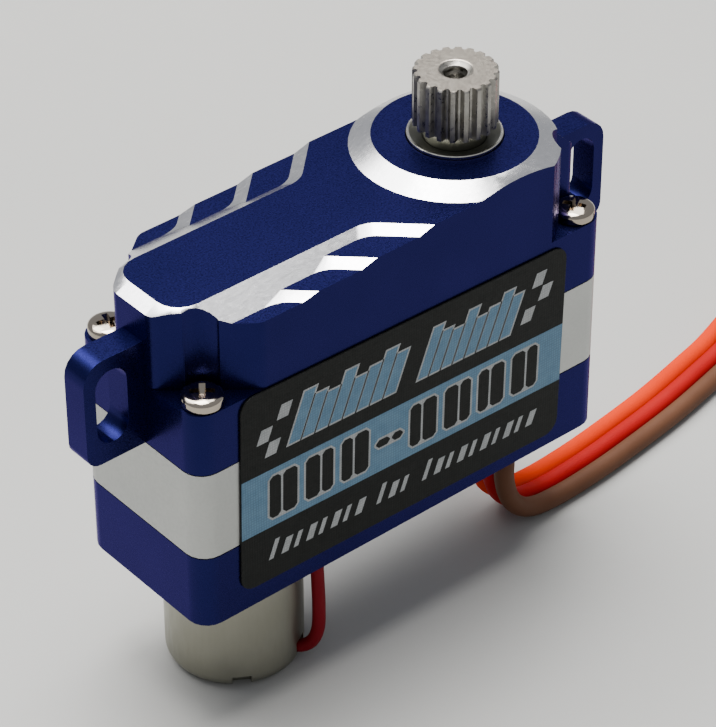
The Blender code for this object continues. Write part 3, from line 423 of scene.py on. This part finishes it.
TURNED = surface("turned_steel", (0.4, 0.365, 0.315), (0.36, 0.325, 0.28), 0.34, 1.0, grain=5000.0,
                 depth=0.002, spread=0.05, blotch=900.0)
# Darker steel that paints shade below the spline's teeth and in the washer's dish.
STEEL_IN_PAINTED_SHADE = surface("steel_in_painted_shade", (0.19, 0.19, 0.165), (0.15, 0.15, 0.13), 0.36, 1.0, grain=4000.0, depth=0.003)
BRIGHT = surface("bright_steel", (0.72, 0.71, 0.66), (0.6, 0.58, 0.52), 0.2, 1.0, grain=4000.0, depth=0.003)
BRASS = surface("brass", (0.72, 0.5, 0.19), (0.6, 0.38, 0.13), 0.28, 1.0, grain=3000.0)
COPPER = surface("copper_wire", (0.68, 0.26, 0.11), (0.5, 0.16, 0.07), 0.35, 1.0, grain=1800.0,
                 stretch=(0.2, 0.2, 4.0), depth=0.03)
MAGNET = surface("magnet", (0.3, 0.3, 0.32), (0.22, 0.22, 0.24), 0.4, 1.0, grain=2000.0)
BOARD = surface("solder_mask", (0.01, 0.13, 0.05), (0.02, 0.17, 0.07), 0.35, grain=1500.0, depth=0.01)
BLACK = surface("black_plastic", (0.018, 0.018, 0.02), (0.03, 0.03, 0.032), 0.45, grain=3500.0, depth=0.008)
RUBBER = surface("black_rubber", (0.014, 0.014, 0.015), (0.022, 0.022, 0.024), 0.6, grain=3000.0, depth=0.01)
ORANGE = surface("orange_insulation", (0.64, 0.028, 0.0), (0.7, 0.036, 0.001), 0.6, grain=1500.0, depth=0.006,
                 Specular_IOR_Level=0.04)
RED = surface("red_insulation", (0.33, 0.003, 0.004), (0.38, 0.005, 0.006), 0.6, grain=1500.0, depth=0.006,
              Specular_IOR_Level=0.1)
BROWN = surface("brown_insulation", (0.1, 0.042, 0.022), (0.12, 0.052, 0.028), 0.6, grain=1500.0, depth=0.006,
                Specular_IOR_Level=0.15)
DARK_RED = surface("dark_red_insulation", (0.15, 0.0015, 0.006), (0.18, 0.002, 0.009), 0.55, grain=1500.0,
                   Specular_IOR_Level=0.12)


# Near-black colour painted as shade into the gaps between the threads.
THREAD_GAP_PAINTED_SHADE = (0.006, 0.007, 0.008)
CLOTH_SCALE = 1900.0
CLOTH_DEPTH = 0.004
CLOTH_SINK = 0.28  # share of painted shade in the gaps between the threads


def woven(name, color, thread, gloss=0.3):
    """A printed cloth sticker: fine threads both ways in the relief, with painted shade between the threads
    in the colour.
    """
    made = surface(name, color, thread, 0.55, grain=6000.0, depth=0.002, blotch=1800.0,
                   Specular_IOR_Level=gloss)
    tree = made.node_tree
    shader = tree.nodes["Principled BSDF"]
    threads = [
        add(tree, "TexWave", {"bands_direction": way}, Vector=coords(tree), Scale=CLOTH_SCALE, Distortion=1.5,
            Detail=1.0, Detail_Scale=2.0).outputs["Fac"]
        for way in ('X', 'Z')
    ]
    weave = maths(tree, 'MULTIPLY', *threads)
    drift = shader.inputs["Base Color"].links[0].from_socket
    # Painted shade darkens the colour in the gaps between the threads.
    painted_gaps = mixed(tree, mapped(tree, weave, 0.0, 1.0, CLOTH_SINK, 0.0), drift, color_of(THREAD_GAP_PAINTED_SHADE))
    tree.links.new(painted_gaps, shader.inputs["Base Color"])
    relief = shader.inputs["Normal"].links[0].from_node
    relief.inputs["Distance"].default_value = CLOTH_DEPTH * MM
    tree.links.new(weave, relief.inputs["Height"])
    return made


LABEL_DARK = woven("label_dark", (0.0062, 0.007, 0.006), (0.0095, 0.0105, 0.0092), 0.12)
LABEL_BLUE = woven("label_blue", (0.10, 0.215, 0.33), (0.13, 0.26, 0.38))
LABEL_PALE = woven("label_pale", (0.36, 0.38, 0.385), (0.44, 0.455, 0.46))


# --- Shape functions -------------------------------------------------------------------------------


def piece(name, mesh, looks, body, replaced=()):
    """A piece of the object that rides on a body and may stand for CAD nodes."""
    made = bpy.data.objects.new(name, mesh)
    bpy.context.scene.collection.objects.link(made)
    for look in looks:
        mesh.materials.append(look)
    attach(made, body)
    if replaced:
        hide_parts(*replaced)
    return made


def to_mesh(name, shape):
    bmesh.ops.scale(shape, verts=shape.verts, vec=(MM, MM, MM))
    bmesh.ops.recalc_face_normals(shape, faces=shape.faces)
    mesh = bpy.data.meshes.new(name)
    shape.to_mesh(mesh)
    shape.free()
    mesh.shade_smooth()
    mesh.set_sharp_from_angle(angle=SMOOTH_UNDER)
    return mesh


def flatten_shading(made):
    """Keeps flat faces flat beside the small faces of eased edges."""
    weighted = made.modifiers.new("Weighted", 'WEIGHTED_NORMAL')
    weighted.keep_sharp = True


def freeze(made):
    """Applies a piece's modifiers."""
    graph = bpy.context.evaluated_depsgraph_get()
    mesh = bpy.data.meshes.new_from_object(made.evaluated_get(graph))
    made.modifiers.clear()
    made.data = mesh
    mesh.shade_smooth()
    mesh.set_sharp_from_angle(angle=SMOOTH_UNDER)


def cut(made, shape):
    """Cuts a closed shape out of a piece for good."""
    cutter = bpy.data.objects.new("cutter", to_mesh("cutter", shape))
    bpy.context.scene.collection.objects.link(cutter)
    modifier = made.modifiers.new("Cut", 'BOOLEAN')
    modifier.object = cutter
    modifier.solver = 'EXACT'
    freeze(made)
    bpy.data.objects.remove(cutter)


def add_box(shape, low, high):
    low, high = Vector(low), Vector(high)
    size = Matrix.Diagonal((*(high - low), 1.0))
    bmesh.ops.create_cube(shape, size=1.0, matrix=Matrix.Translation((low + high) / 2) @ size)


def join_outlines(shape, first, second):
    """The faces between two outlines with as many points."""
    for index in range(len(first)):
        after = (index + 1) % len(first)
        shape.faces.new((first[index], first[after], second[after], second[index]))


def lathe(rings, center, steps=64, closed=False, form=None):
    """A turned shape through (radius, height) rings. form(radius, height, angle) may change a radius."""
    shape = bmesh.new()
    loops = []
    for radius, height in rings:
        angles = [2 * math.pi * step / steps for step in range(steps)] if radius > 0 else [0.0]
        loop = []
        for angle in angles:
            reach = form(radius, height, angle) if form else radius
            x, y = center[0] + reach * math.cos(angle), center[1] + reach * math.sin(angle)
            loop.append(shape.verts.new((x, y, height)))
        loops.append(loop)
    pairs = list(zip(loops, loops[1:]))
    if closed:
        pairs.append((loops[-1], loops[0]))
    for first, second in pairs:
        for step in range(steps):
            after = (step + 1) % steps
            ring = [first[step % len(first)], first[after % len(first)],
                    second[after % len(second)], second[step % len(second)]]
            face = list(dict.fromkeys(ring))
            if len(face) > 2:
                shape.faces.new(face)
    return shape


def clean_copy(node):
    """The CAD node's surface in millimetres, with its flat regions as single faces."""
    shape = bmesh.new()
    shape.from_mesh(frame["nodes"][node].data)
    bmesh.ops.scale(shape, verts=shape.verts, vec=(1 / MM, 1 / MM, 1 / MM))
    bmesh.ops.remove_doubles(shape, verts=shape.verts, dist=WELD_UNDER)
    bmesh.ops.dissolve_limit(shape, angle_limit=FLAT_UNDER, verts=shape.verts, edges=shape.edges)
    return shape


def ease_edges(shape, width, keep=None, mark=-1, segments=2, over=24.0):
    """Bevels the edges that turn by more than an angle in degrees. keep(edge) picks among them."""
    chosen = [
        edge for edge in shape.edges
        if len(edge.link_faces) == 2 and edge.calc_face_angle(0.0) > math.radians(over)
        and (keep is None or keep(edge))
    ]
    bmesh.ops.bevel(shape, geom=chosen, offset=width, segments=segments, profile=0.5, affect='EDGES',
                    clamp_overlap=True, material=mark)


def tube(name, points, diameter, look, replaced):
    """A wire of the case's body through these points."""
    curve = bpy.data.curves.new(name, 'CURVE')
    curve.dimensions = '3D'
    curve.bevel_depth = diameter / 2 * MM
    curve.bevel_resolution = 5
    curve.use_fill_caps = True
    spline = curve.splines.new('POLY')
    spline.points.add(len(points) - 1)
    for point, place in zip(spline.points, points):
        point.co = (*(Vector(place) * MM), 1.0)
    return piece(name, curve, (look,), "case", replaced)


# --- Case ------------------------------------------------------------------------------------------


def is_on_lug(edge):
    return abs((edge.verts[0].co.x + edge.verts[1].co.x) / 2) > LUG_START


def is_slope(face):
    """Whether the milling left this face of the top bare."""
    center = face.calc_center_median()
    least, most = SLOPE_RISES
    return least < face.normal.z < most and center.z > SLOPE_START and abs(center.x) < END + SLACK


def is_step_corner(edge):
    """Whether the edge is where a step meets the long slope behind its shelf."""
    if len(edge.link_faces) != 2 or edge.is_convex:
        return False
    rise = abs(edge.verts[0].co.z - edge.verts[1].co.z)
    return rise > STEP_RISE and all(is_slope(face) for face in edge.link_faces)


def is_border(edge):
    """Whether the edge parts bare metal from blue."""
    first, second = edge.link_faces
    return first.material_index != second.material_index


def is_upright(edge):
    first, second = (vert.co for vert in edge.verts)
    return abs(first.z - second.z) > UPRIGHT_SHARE * (first - second).length and abs(first.x) < END + SLACK


def make_top_case():
    shape = clean_copy("top_case")
    corners = [edge for edge in shape.edges if is_step_corner(edge)]
    bmesh.ops.bevel(shape, geom=corners, offset=STEP_FILLET, segments=4, profile=0.5, affect='EDGES',
                    clamp_overlap=True)
    bmesh.ops.recalc_face_normals(shape, faces=shape.faces)
    for face in shape.faces:
        face.material_index = 1 if is_slope(face) else 0
    ease_edges(shape, BORDER_EDGE, keep=is_border, over=BORDER_TURN, mark=1)
    ease_edges(shape, LUG_EDGE, keep=is_on_lug, segments=3)
    # The upright edges take the lighter blue: a painted highlight along them as well as wear.
    ease_edges(shape, EDGE, keep=is_upright, mark=2)
    ease_edges(shape, EDGE, keep=lambda edge: not is_upright(edge))
    mesh = to_mesh("top_case_shell", shape)
    made = piece("top_case_shell", mesh, (BLUE, MILLED, BLUE_WORN_EDGE_AND_HIGHLIGHT), "case", ("top_case",))
    flatten_shading(made)


def make_plain_shell(node, look):
    shape = clean_copy(node)
    ease_edges(shape, EDGE)
    mesh = to_mesh(node + "_shell", shape)
    made = piece(node + "_shell", mesh, (look,), "case", (node,))
    flatten_shading(made)


def make_case():
    make_top_case()
    make_plain_shell("middle_case", BARE)
    make_plain_shell("bottom_cover", BLUE)


# --- Shaft -----------------------------------------------------------------------------------------


def spline_form(radius, height, angle):
    """Teeth on the spline, and a thread in the tapped hole."""
    if radius < TAPPED + TOUCH:
        turn = height / THREAD_PITCH + angle / (2 * math.pi)
        return radius - THREAD_DEPTH * abs(2 * (turn % 1) - 1)
    if height < SPLINE_LOW or radius < SPLINE_ROOT:
        return radius
    phase = (angle * SPLINE_TEETH / (2 * math.pi)) % 1
    flank = abs(phase - 0.5) * 2
    tooth = min(1.0, max(0.0, (TOOTH_SPREAD - flank) / TOOTH_FLANK))
    land = SPLINE_ROOT + (SPLINE_TIP - SPLINE_ROOT) * tooth
    return min(radius, land)


def make_shaft():
    rings = [(0.0, SHAFT_LOW)]
    level = SHAFT_LOW
    for radius, top in SHAFT_STEPS:
        rings += [(radius, level), (radius, top)]
        level = top
    crest = SHAFT_TOP - SPLINE_CHAMFER
    rings += [(SPLINE_TIP, SPLINE_LOW), (SPLINE_TIP, crest - RING_GAP), (SPLINE_TIP, crest)]
    rings += [(SPLINE_TIP - CHAMFER_BREAK, SHAFT_TOP - FACE_DROP),
              (SPLINE_TIP - SPLINE_CHAMFER, SHAFT_TOP), (SPLINE_ROOT - SPLINE_CHAMFER - RING_GAP, SHAFT_TOP)]
    hole = SHAFT_TOP - (COUNTERSINK - TAPPED)
    rings += [(COUNTERSINK + 2 * RING_GAP, SHAFT_TOP), (COUNTERSINK + RING_GAP, SHAFT_TOP),
              (COUNTERSINK, SHAFT_TOP - FACE_DROP), (TAPPED + 2 * TOUCH, hole)]
    levels = [hole - 2 * TOUCH - step * THREAD_PITCH / THREAD_STEPS for step in range(THREAD_RINGS)]
    rings += [(TAPPED, level) for level in levels] + [(0.0, levels[-1] - DRILL_POINT)]
    mesh = to_mesh("output_spline_shaft", lathe(rings, (OUTPUT_X, 0.0), steps=240, form=spline_form))
    # The end face is turned steel; the faces below the teeth are painted in shade.
    for face in mesh.polygons:
        height = face.center.z / MM
        if height > SHAFT_TOP - FACE_DROP and face.normal.z > FACE_RISE:
            face.material_index = 1
        elif height < SPLINE_LOW + TOUCH:
            face.material_index = 2
    piece("output_spline_shaft", mesh, (GEAR_STEEL, TURNED, STEEL_IN_PAINTED_SHADE), "output", ("output_shaft",))


def make_washer():
    low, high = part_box("shaft_washer")
    radius = (high.x - low.x) / 2 / MM
    hole = NECK + NECK_GAP
    rings = [(radius, WASHER_LOW)]
    rings += [(radius - inward, WASHER_TOP - depth) for inward, depth in WASHER_DISH]
    rings += [(hole, WASHER_TOP - DISH_DEPTH), (hole, WASHER_LOW)]
    mesh = to_mesh("shaft_dished_washer", lathe(rings, (OUTPUT_X, 0.0), steps=96, closed=True))
    # The dish inside the rim is painted in shade; the rim keeps the bright steel.
    for face in mesh.polygons:
        reach = math.hypot(face.center.x / MM - OUTPUT_X, face.center.y / MM)
        face.material_index = 1 if reach < radius - DISH_PAINTED_SHADE_START else 0
    piece("shaft_dished_washer", mesh, (BRIGHT, STEEL_IN_PAINTED_SHADE), "output", ("shaft_washer",))


# --- Screws ----------------------------------------------------------------------------------------


def cross_cutter(center, top, turn):
    """A tapered cross recess."""
    shape = bmesh.new()
    loops = []
    for rise, half, thin in CROSS_ENDS:
        outline = []
        for quarter in range(4):
            angle = turn + quarter * math.pi / 2
            for along, across in ((thin, thin), (half, thin), (half, -thin)):
                outline.append((center.x + along * math.cos(angle) + across * math.sin(angle),
                                center.y + along * math.sin(angle) - across * math.cos(angle), top + rise))
        loops.append([shape.verts.new(point) for point in outline])
    for loop in loops:
        shape.faces.new(loop)
    join_outlines(shape, *loops)
    return shape


def make_screw(number, turn):
    node = f"case_screw_{number}"
    low, high = (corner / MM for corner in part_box(node))
    center = (low + high) / 2
    radius = (high.x - low.x) / 2 + HEAD_GROWTH
    seat = high.z - SCREW_RISE
    rim = seat + HEAD_RIM
    dome = [(radius * math.cos(angle) ** DOME_POWER, rim + (high.z - rim) * math.sin(angle))
            for angle in DOME_ANGLES]
    side = [(radius, rim - RIM_GAP)] + [(radius - inward, seat + rise) for inward, rise in HEAD_FOOT]
    shank = [(SHANK_RADIUS, seat), (SHANK_RADIUS, low.z + SHANK_POINT), (0.0, low.z)]
    mesh = to_mesh(node + "_head", lathe([(0.0, high.z)] + dome + side + shank, center, steps=48))
    made = piece(node + "_head", mesh, (NICKEL,), "case", (node,))
    cut(made, cross_cutter(center, high.z, turn))


def make_screws():
    for number, turn in enumerate(CROSS_TURNS, 1):
        make_screw(number, turn)


# --- Motor -----------------------------------------------------------------------------------------


def make_motor():
    lip = CAN_RADIUS - CAN_ROUND
    inner = CAN_RADIUS - CAN_WALL
    rings = [(CAN_HOLE, CAN_TOP), (CAN_RADIUS - CAN_EDGE, CAN_TOP), (CAN_RADIUS, CAN_TOP - CAN_EDGE)]
    rings += [(CAN_RADIUS, height) for height in CAN_RINGS]
    for step in range(CAN_ROUND_STEPS + 1):
        angle = -math.pi / 2 * step / CAN_ROUND_STEPS
        rings.append((lip + CAN_ROUND * math.cos(angle), CAN_ROUND + CAN_ROUND * math.sin(angle)))
    rings += [(lip - CAN_LIP, 0.0), (lip - CAN_LIP, CAN_WALL), (lip, CAN_WALL), (inner, CAN_ROUND),
              (inner, CAN_TOP - CAN_LID), (CAN_HOLE, CAN_TOP - CAN_LID)]
    mesh = to_mesh("motor_can_shell", lathe(rings, (MOTOR_X, 0.0), steps=128, closed=True))
    made = piece("motor_can_shell", mesh, (CAN,), "case", ("motor_can",))
    for azimuth, half, height in CAN_NOTCHES:
        notch = bmesh.new()
        add_box(notch, (NOTCH_START, -half, -height), (NOTCH_END, half, height))
        turn = Matrix.Translation((MOTOR_X, 0.0, 0.0)) @ Matrix.Rotation(math.radians(azimuth), 4, 'Z')
        bmesh.ops.transform(notch, matrix=turn, verts=notch.verts)
        cut(made, notch)
    for name, side, look, slot in (("red", 1, DARK_RED, "red_wire"), ("black", -1, RUBBER, "black_rubber")):
        route = smooth_route([(x, y * side, z) for x, y, z in MOTOR_LEAD_ROUTE], MOTOR_WIRE_STEP)
        tube(f"motor_lead_{name}_wire", route, MOTOR_WIRE, look, (f"motor_lead_{name}",))


# --- Lead ------------------------------------------------------------------------------------------


def between(a, b, c, d, t):
    """A Catmull-Rom curve from b to c."""
    square, cube = 2 * a - 5 * b + 4 * c - d, 3 * b - a - 3 * c + d
    return 0.5 * (2 * b + (c - a) * t + square * t * t + cube * t ** 3)


def smooth_route(stops, spacing):
    """Points along a smooth curve through the stops, which may hold more values than a place."""
    fine = 24
    dense = []
    last = len(stops) - 1
    for index in range(last):
        four = stops[max(index - 1, 0)], stops[index], stops[index + 1], stops[min(index + 2, last)]
        for step in range(fine + (index == last - 1)):
            dense.append([between(*values, step / fine) for values in zip(*four)])
    run = [0.0]
    for first, second in zip(dense, dense[1:]):
        run.append(run[-1] + math.dist(first[:3], second[:3]))
    count = max(2, round(run[-1] / spacing))
    picked, index = [], 0
    for step in range(count + 1):
        wanted = run[-1] * step / count
        while index < len(run) - 2 and run[index + 1] < wanted:
            index += 1
        share = (wanted - run[index]) / max(run[index + 1] - run[index], 1e-9)
        picked.append([p + (q - p) * share for p, q in zip(dense[index], dense[index + 1])])
    return picked


def wire_points(route, place_in_lead):
    """One wire of the flat lead: place_in_lead is -1, 0 or 1 across it."""
    middle = smooth_route(route, WIRE_STEP)
    points = []
    for index, (x, y, z, roll, pitch) in enumerate(middle):
        before, after = middle[max(index - 1, 0)], middle[min(index + 1, len(middle) - 1)]
        heading = Vector((after[0] - before[0], after[1] - before[1]))
        side = Vector((-heading.y, heading.x)).normalized() if heading.length > TOUCH else Vector((0.0, 1.0))
        across = place_in_lead * pitch * math.cos(math.radians(roll))
        above = place_in_lead * pitch * math.sin(math.radians(roll))
        points.append((x + side.x * across, y + side.y * across, z + above))
    return points


def hank_points(place_in_lead):
    """The spare lead on edge in three passes, one beside the other, joined by two round turns."""
    level = HANK_LEVEL + place_in_lead * PITCH
    points = []
    for x, y, start in ((HANK_END, HANK_PASS - HANK_TURN, 90), (HANK_START, -HANK_TURN, 90)):
        direction = -1 if x == HANK_END else 1
        for step in range(TURN_STEPS + 1):
            angle = math.radians(start + direction * 180 * step / TURN_STEPS)
            points.append((x + HANK_TURN * math.cos(angle), y + HANK_TURN * math.sin(angle), level))
    return points


def make_plug():
    """The plug's shell, with an open window over each contact and a groove down each side."""
    low, high = (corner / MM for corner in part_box("plug_housing"))
    mesh = to_mesh("plug_shell", clean_copy("plug_housing"))
    made = piece("plug_shell", mesh, (BLACK,), "case", ("plug_housing",))
    openings = bmesh.new()
    start, end = low.x + WINDOW_BACK, low.x + WINDOW_BACK + WINDOW_LENGTH
    for place in (-1, 0, 1):
        y = place * PLUG_PITCH
        add_box(openings, (start, y - WINDOW_HALF, high.z - WINDOW_DEPTH),
                (end, y + WINDOW_HALF, high.z + CUT_PAST))
    for side in (-1, 1):
        y = side * high.y
        add_box(openings, (low.x - CUT_PAST, y - GROOVE_DEPTH, low.z + GROOVE_LOW),
                (high.x - GROOVE_STOP, y + GROOVE_DEPTH, low.z + GROOVE_HIGH))
    cut(made, openings)
    flatten_shading(made)
    return made


def make_tie():
    """The band round the hank, with its locking head on top and the cut end of its strip."""
    low, high = (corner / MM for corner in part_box("lead_tie"))
    middle = (low.x + high.x) / 2
    shape = clean_copy("lead_tie")
    add_box(shape, (middle - TIE_HEAD_HALF, TIE_HEAD_Y[0], high.z - TIE_OVERLAP),
            (middle + TIE_HEAD_HALF, TIE_HEAD_Y[1], high.z + TIE_HEAD_RISE))
    add_box(shape, (middle - TIE_STRIP_HALF, TIE_STRIP_Y[0], high.z + TIE_STRIP_RISE[0]),
            (middle + TIE_STRIP_HALF, TIE_STRIP_Y[1], high.z + TIE_STRIP_RISE[1]))
    ease_edges(shape, TIE_EDGE)
    mesh = to_mesh("lead_tie_band", shape)
    made = piece("lead_tie_band", mesh, (BLACK,), "case", ("lead_tie",))
    flatten_shading(made)
    return made


def make_lead():
    plug = make_plug()
    tie = make_tie()
    wires = (("brown", -1, BROWN), ("red", 0, RED), ("orange", 1, ORANGE))
    for number, (name, place, look) in enumerate(wires, 1):
        points = wire_points(LEAD_ROUTE, place) + hank_points(place) + wire_points(TAIL_ROUTE, place)
        hidden = [f"lead_{name}", f"lead_tail_{name}"] + (["lead_hank"] if name == "red" else [])
        wire = tube(f"wire_{name}", points, WIRE, look, hidden)


# --- Label -----------------------------------------------------------------------------------------


def label_point(u, v, out):
    """A point on the label: u along it, v up it and out from its face."""
    x = LABEL_CENTER.x + u * math.cos(LABEL_TILT) + v * math.sin(LABEL_TILT)
    z = LABEL_CENTER.z - u * math.sin(LABEL_TILT) + v * math.cos(LABEL_TILT)
    return Vector((x, LABEL_FACE - out, z))


def printed(name, outlines, layer, look):
    """Flat shapes of ink, each an outline of (u, v) points, on one of the label's layers."""
    shape = bmesh.new()
    for outline in outlines:
        low, high = ([shape.verts.new(label_point(u, v, out)) for u, v in outline]
                     for out in (0.0, layer * INK))
        shape.faces.new(low)
        shape.faces.new(high)
        join_outlines(shape, low, high)
    piece(name, to_mesh(name, shape), (look,), "case")


def slanted(left, low, width, height, grow=0.0):
    """A parallelogram that leans as the print does, grown on every side."""
    low, height = low - grow, height + 2 * grow
    left, width = left - grow * SIDE_GROWTH - grow * PRINT_LEAN, width + 2 * grow * SIDE_GROWTH
    right, shift = left + width, height * PRINT_LEAN
    return [(left, low), (right, low), (right + shift, low + height), (left + shift, low + height)]


def upright(left, low, width, height, nick=0.0):
    """A rectangle with its corners cut."""
    right, high = left + width, low + height
    if nick == 0:
        return [(left, low), (right, low), (right, high), (left, high)]
    return [(left + nick, low), (right - nick, low), (right, low + nick), (right, high - nick),
            (right - nick, high), (left + nick, high), (left, high - nick), (left, low + nick)]


def print_bars():
    """The upper row: slanted blue bars, tall and short by turns, with pale outlines."""
    bars, rims = [], []
    for start, end in BAR_RUNS:
        pitch = (end - start) / BARS_IN_RUN
        for index in range(BARS_IN_RUN):
            height = TALL_BAR if index % 3 == 0 else SHORT_BAR + BAR_STAGGER * (index % 2)
            bar = (start + index * pitch, BAR_LOW, pitch - BAR_GAP, height)
            bars.append(slanted(*bar))
            rims.append(slanted(*bar, BAR_RIM))
    printed("label_bar_rims", rims, 1, LABEL_PALE)
    printed("label_bars", bars, 2, LABEL_BLUE)
    printed("label_checks", [slanted(u, v, *CHECK_SIZE) for u, v in CHECKS], 1, LABEL_PALE)


def print_blocks():
    """The middle row: dark blocks on the band, each split by a slit, with pale outlines."""
    blocks, rims = [], []
    for index, left in enumerate(BLOCK_STARTS):
        low, height = SHORT_SPAN if index == SHORT_BLOCK else BLOCK_SPAN
        first, second = BLOCK_WIDTHS if index % 2 == 0 else reversed(BLOCK_WIDTHS)
        length = first + BLOCK_SLIT + second
        rims.append(upright(left - BLOCK_RIM, low - BLOCK_RIM, length + 2 * BLOCK_RIM, height + 2 * BLOCK_RIM,
                            RIM_NICK))
        blocks.append(upright(left, low, first, height, BLOCK_NICK))
        blocks.append(upright(left + first + BLOCK_SLIT, low, second, height, BLOCK_NICK))
    printed("label_block_rims", rims, 2, LABEL_PALE)
    printed("label_blocks", blocks, 3, LABEL_DARK)


def print_dashes():
    """The lower row: groups of pale slanted dashes, the first of each a little taller."""
    dashes = []
    for start, count in DASH_GROUPS:
        for index in range(count):
            height = FIRST_DASH if index == 0 else DASH_HEIGHT
            dashes.append(slanted(start + index * DASH_PITCH, DASH_LOW, DASH_WIDTHS[index % 2], height))
    printed("label_dashes", dashes, 1, LABEL_PALE)


def make_label():
    shape = clean_copy("label")
    ease_edges(shape, LABEL_EDGE)
    made = piece("label_sheet", to_mesh("label_sheet", shape), (LABEL_DARK,), "case", ("label",))
    flatten_shading(made)
    half = LABEL_LENGTH / 2 - LABEL_EDGE
    printed("label_band", [upright(-half, BAND_LOW, 2 * half, BAND_HIGH - BAND_LOW)], 1, LABEL_BLUE)
    print_bars()
    print_blocks()
    print_dashes()


# --- Inside ----------------------------------------------------------------------------------------


SLOT_LOOKS = {
    "blue_anodised": BLUE, "bare_aluminium": BARE, "case_steel": CAN, "gear_steel": GEAR_STEEL,
    "bright_steel": BRIGHT, "brass": BRASS, "copper": COPPER, "magnet": MAGNET, "board": BOARD,
    "black_plastic": BLACK, "black_rubber": RUBBER, "sticker": LABEL_DARK, "brown_wire": BROWN,
    "red_wire": RED, "orange_wire": ORANGE,
}


def dress_nodes():
    """Gives each CAD node that is still shown the look of its slot."""
    for part in frame["record"]["subparts"]:
        node = frame["nodes"][part["node"]]
        for slot in node.material_slots:
            slot.material = SLOT_LOOKS[part["material_slot"]]


make_camera()
make_stage()
make_lead()
make_case()
make_shaft()
make_washer()
make_screws()
make_motor()
make_label()
dress_nodes()
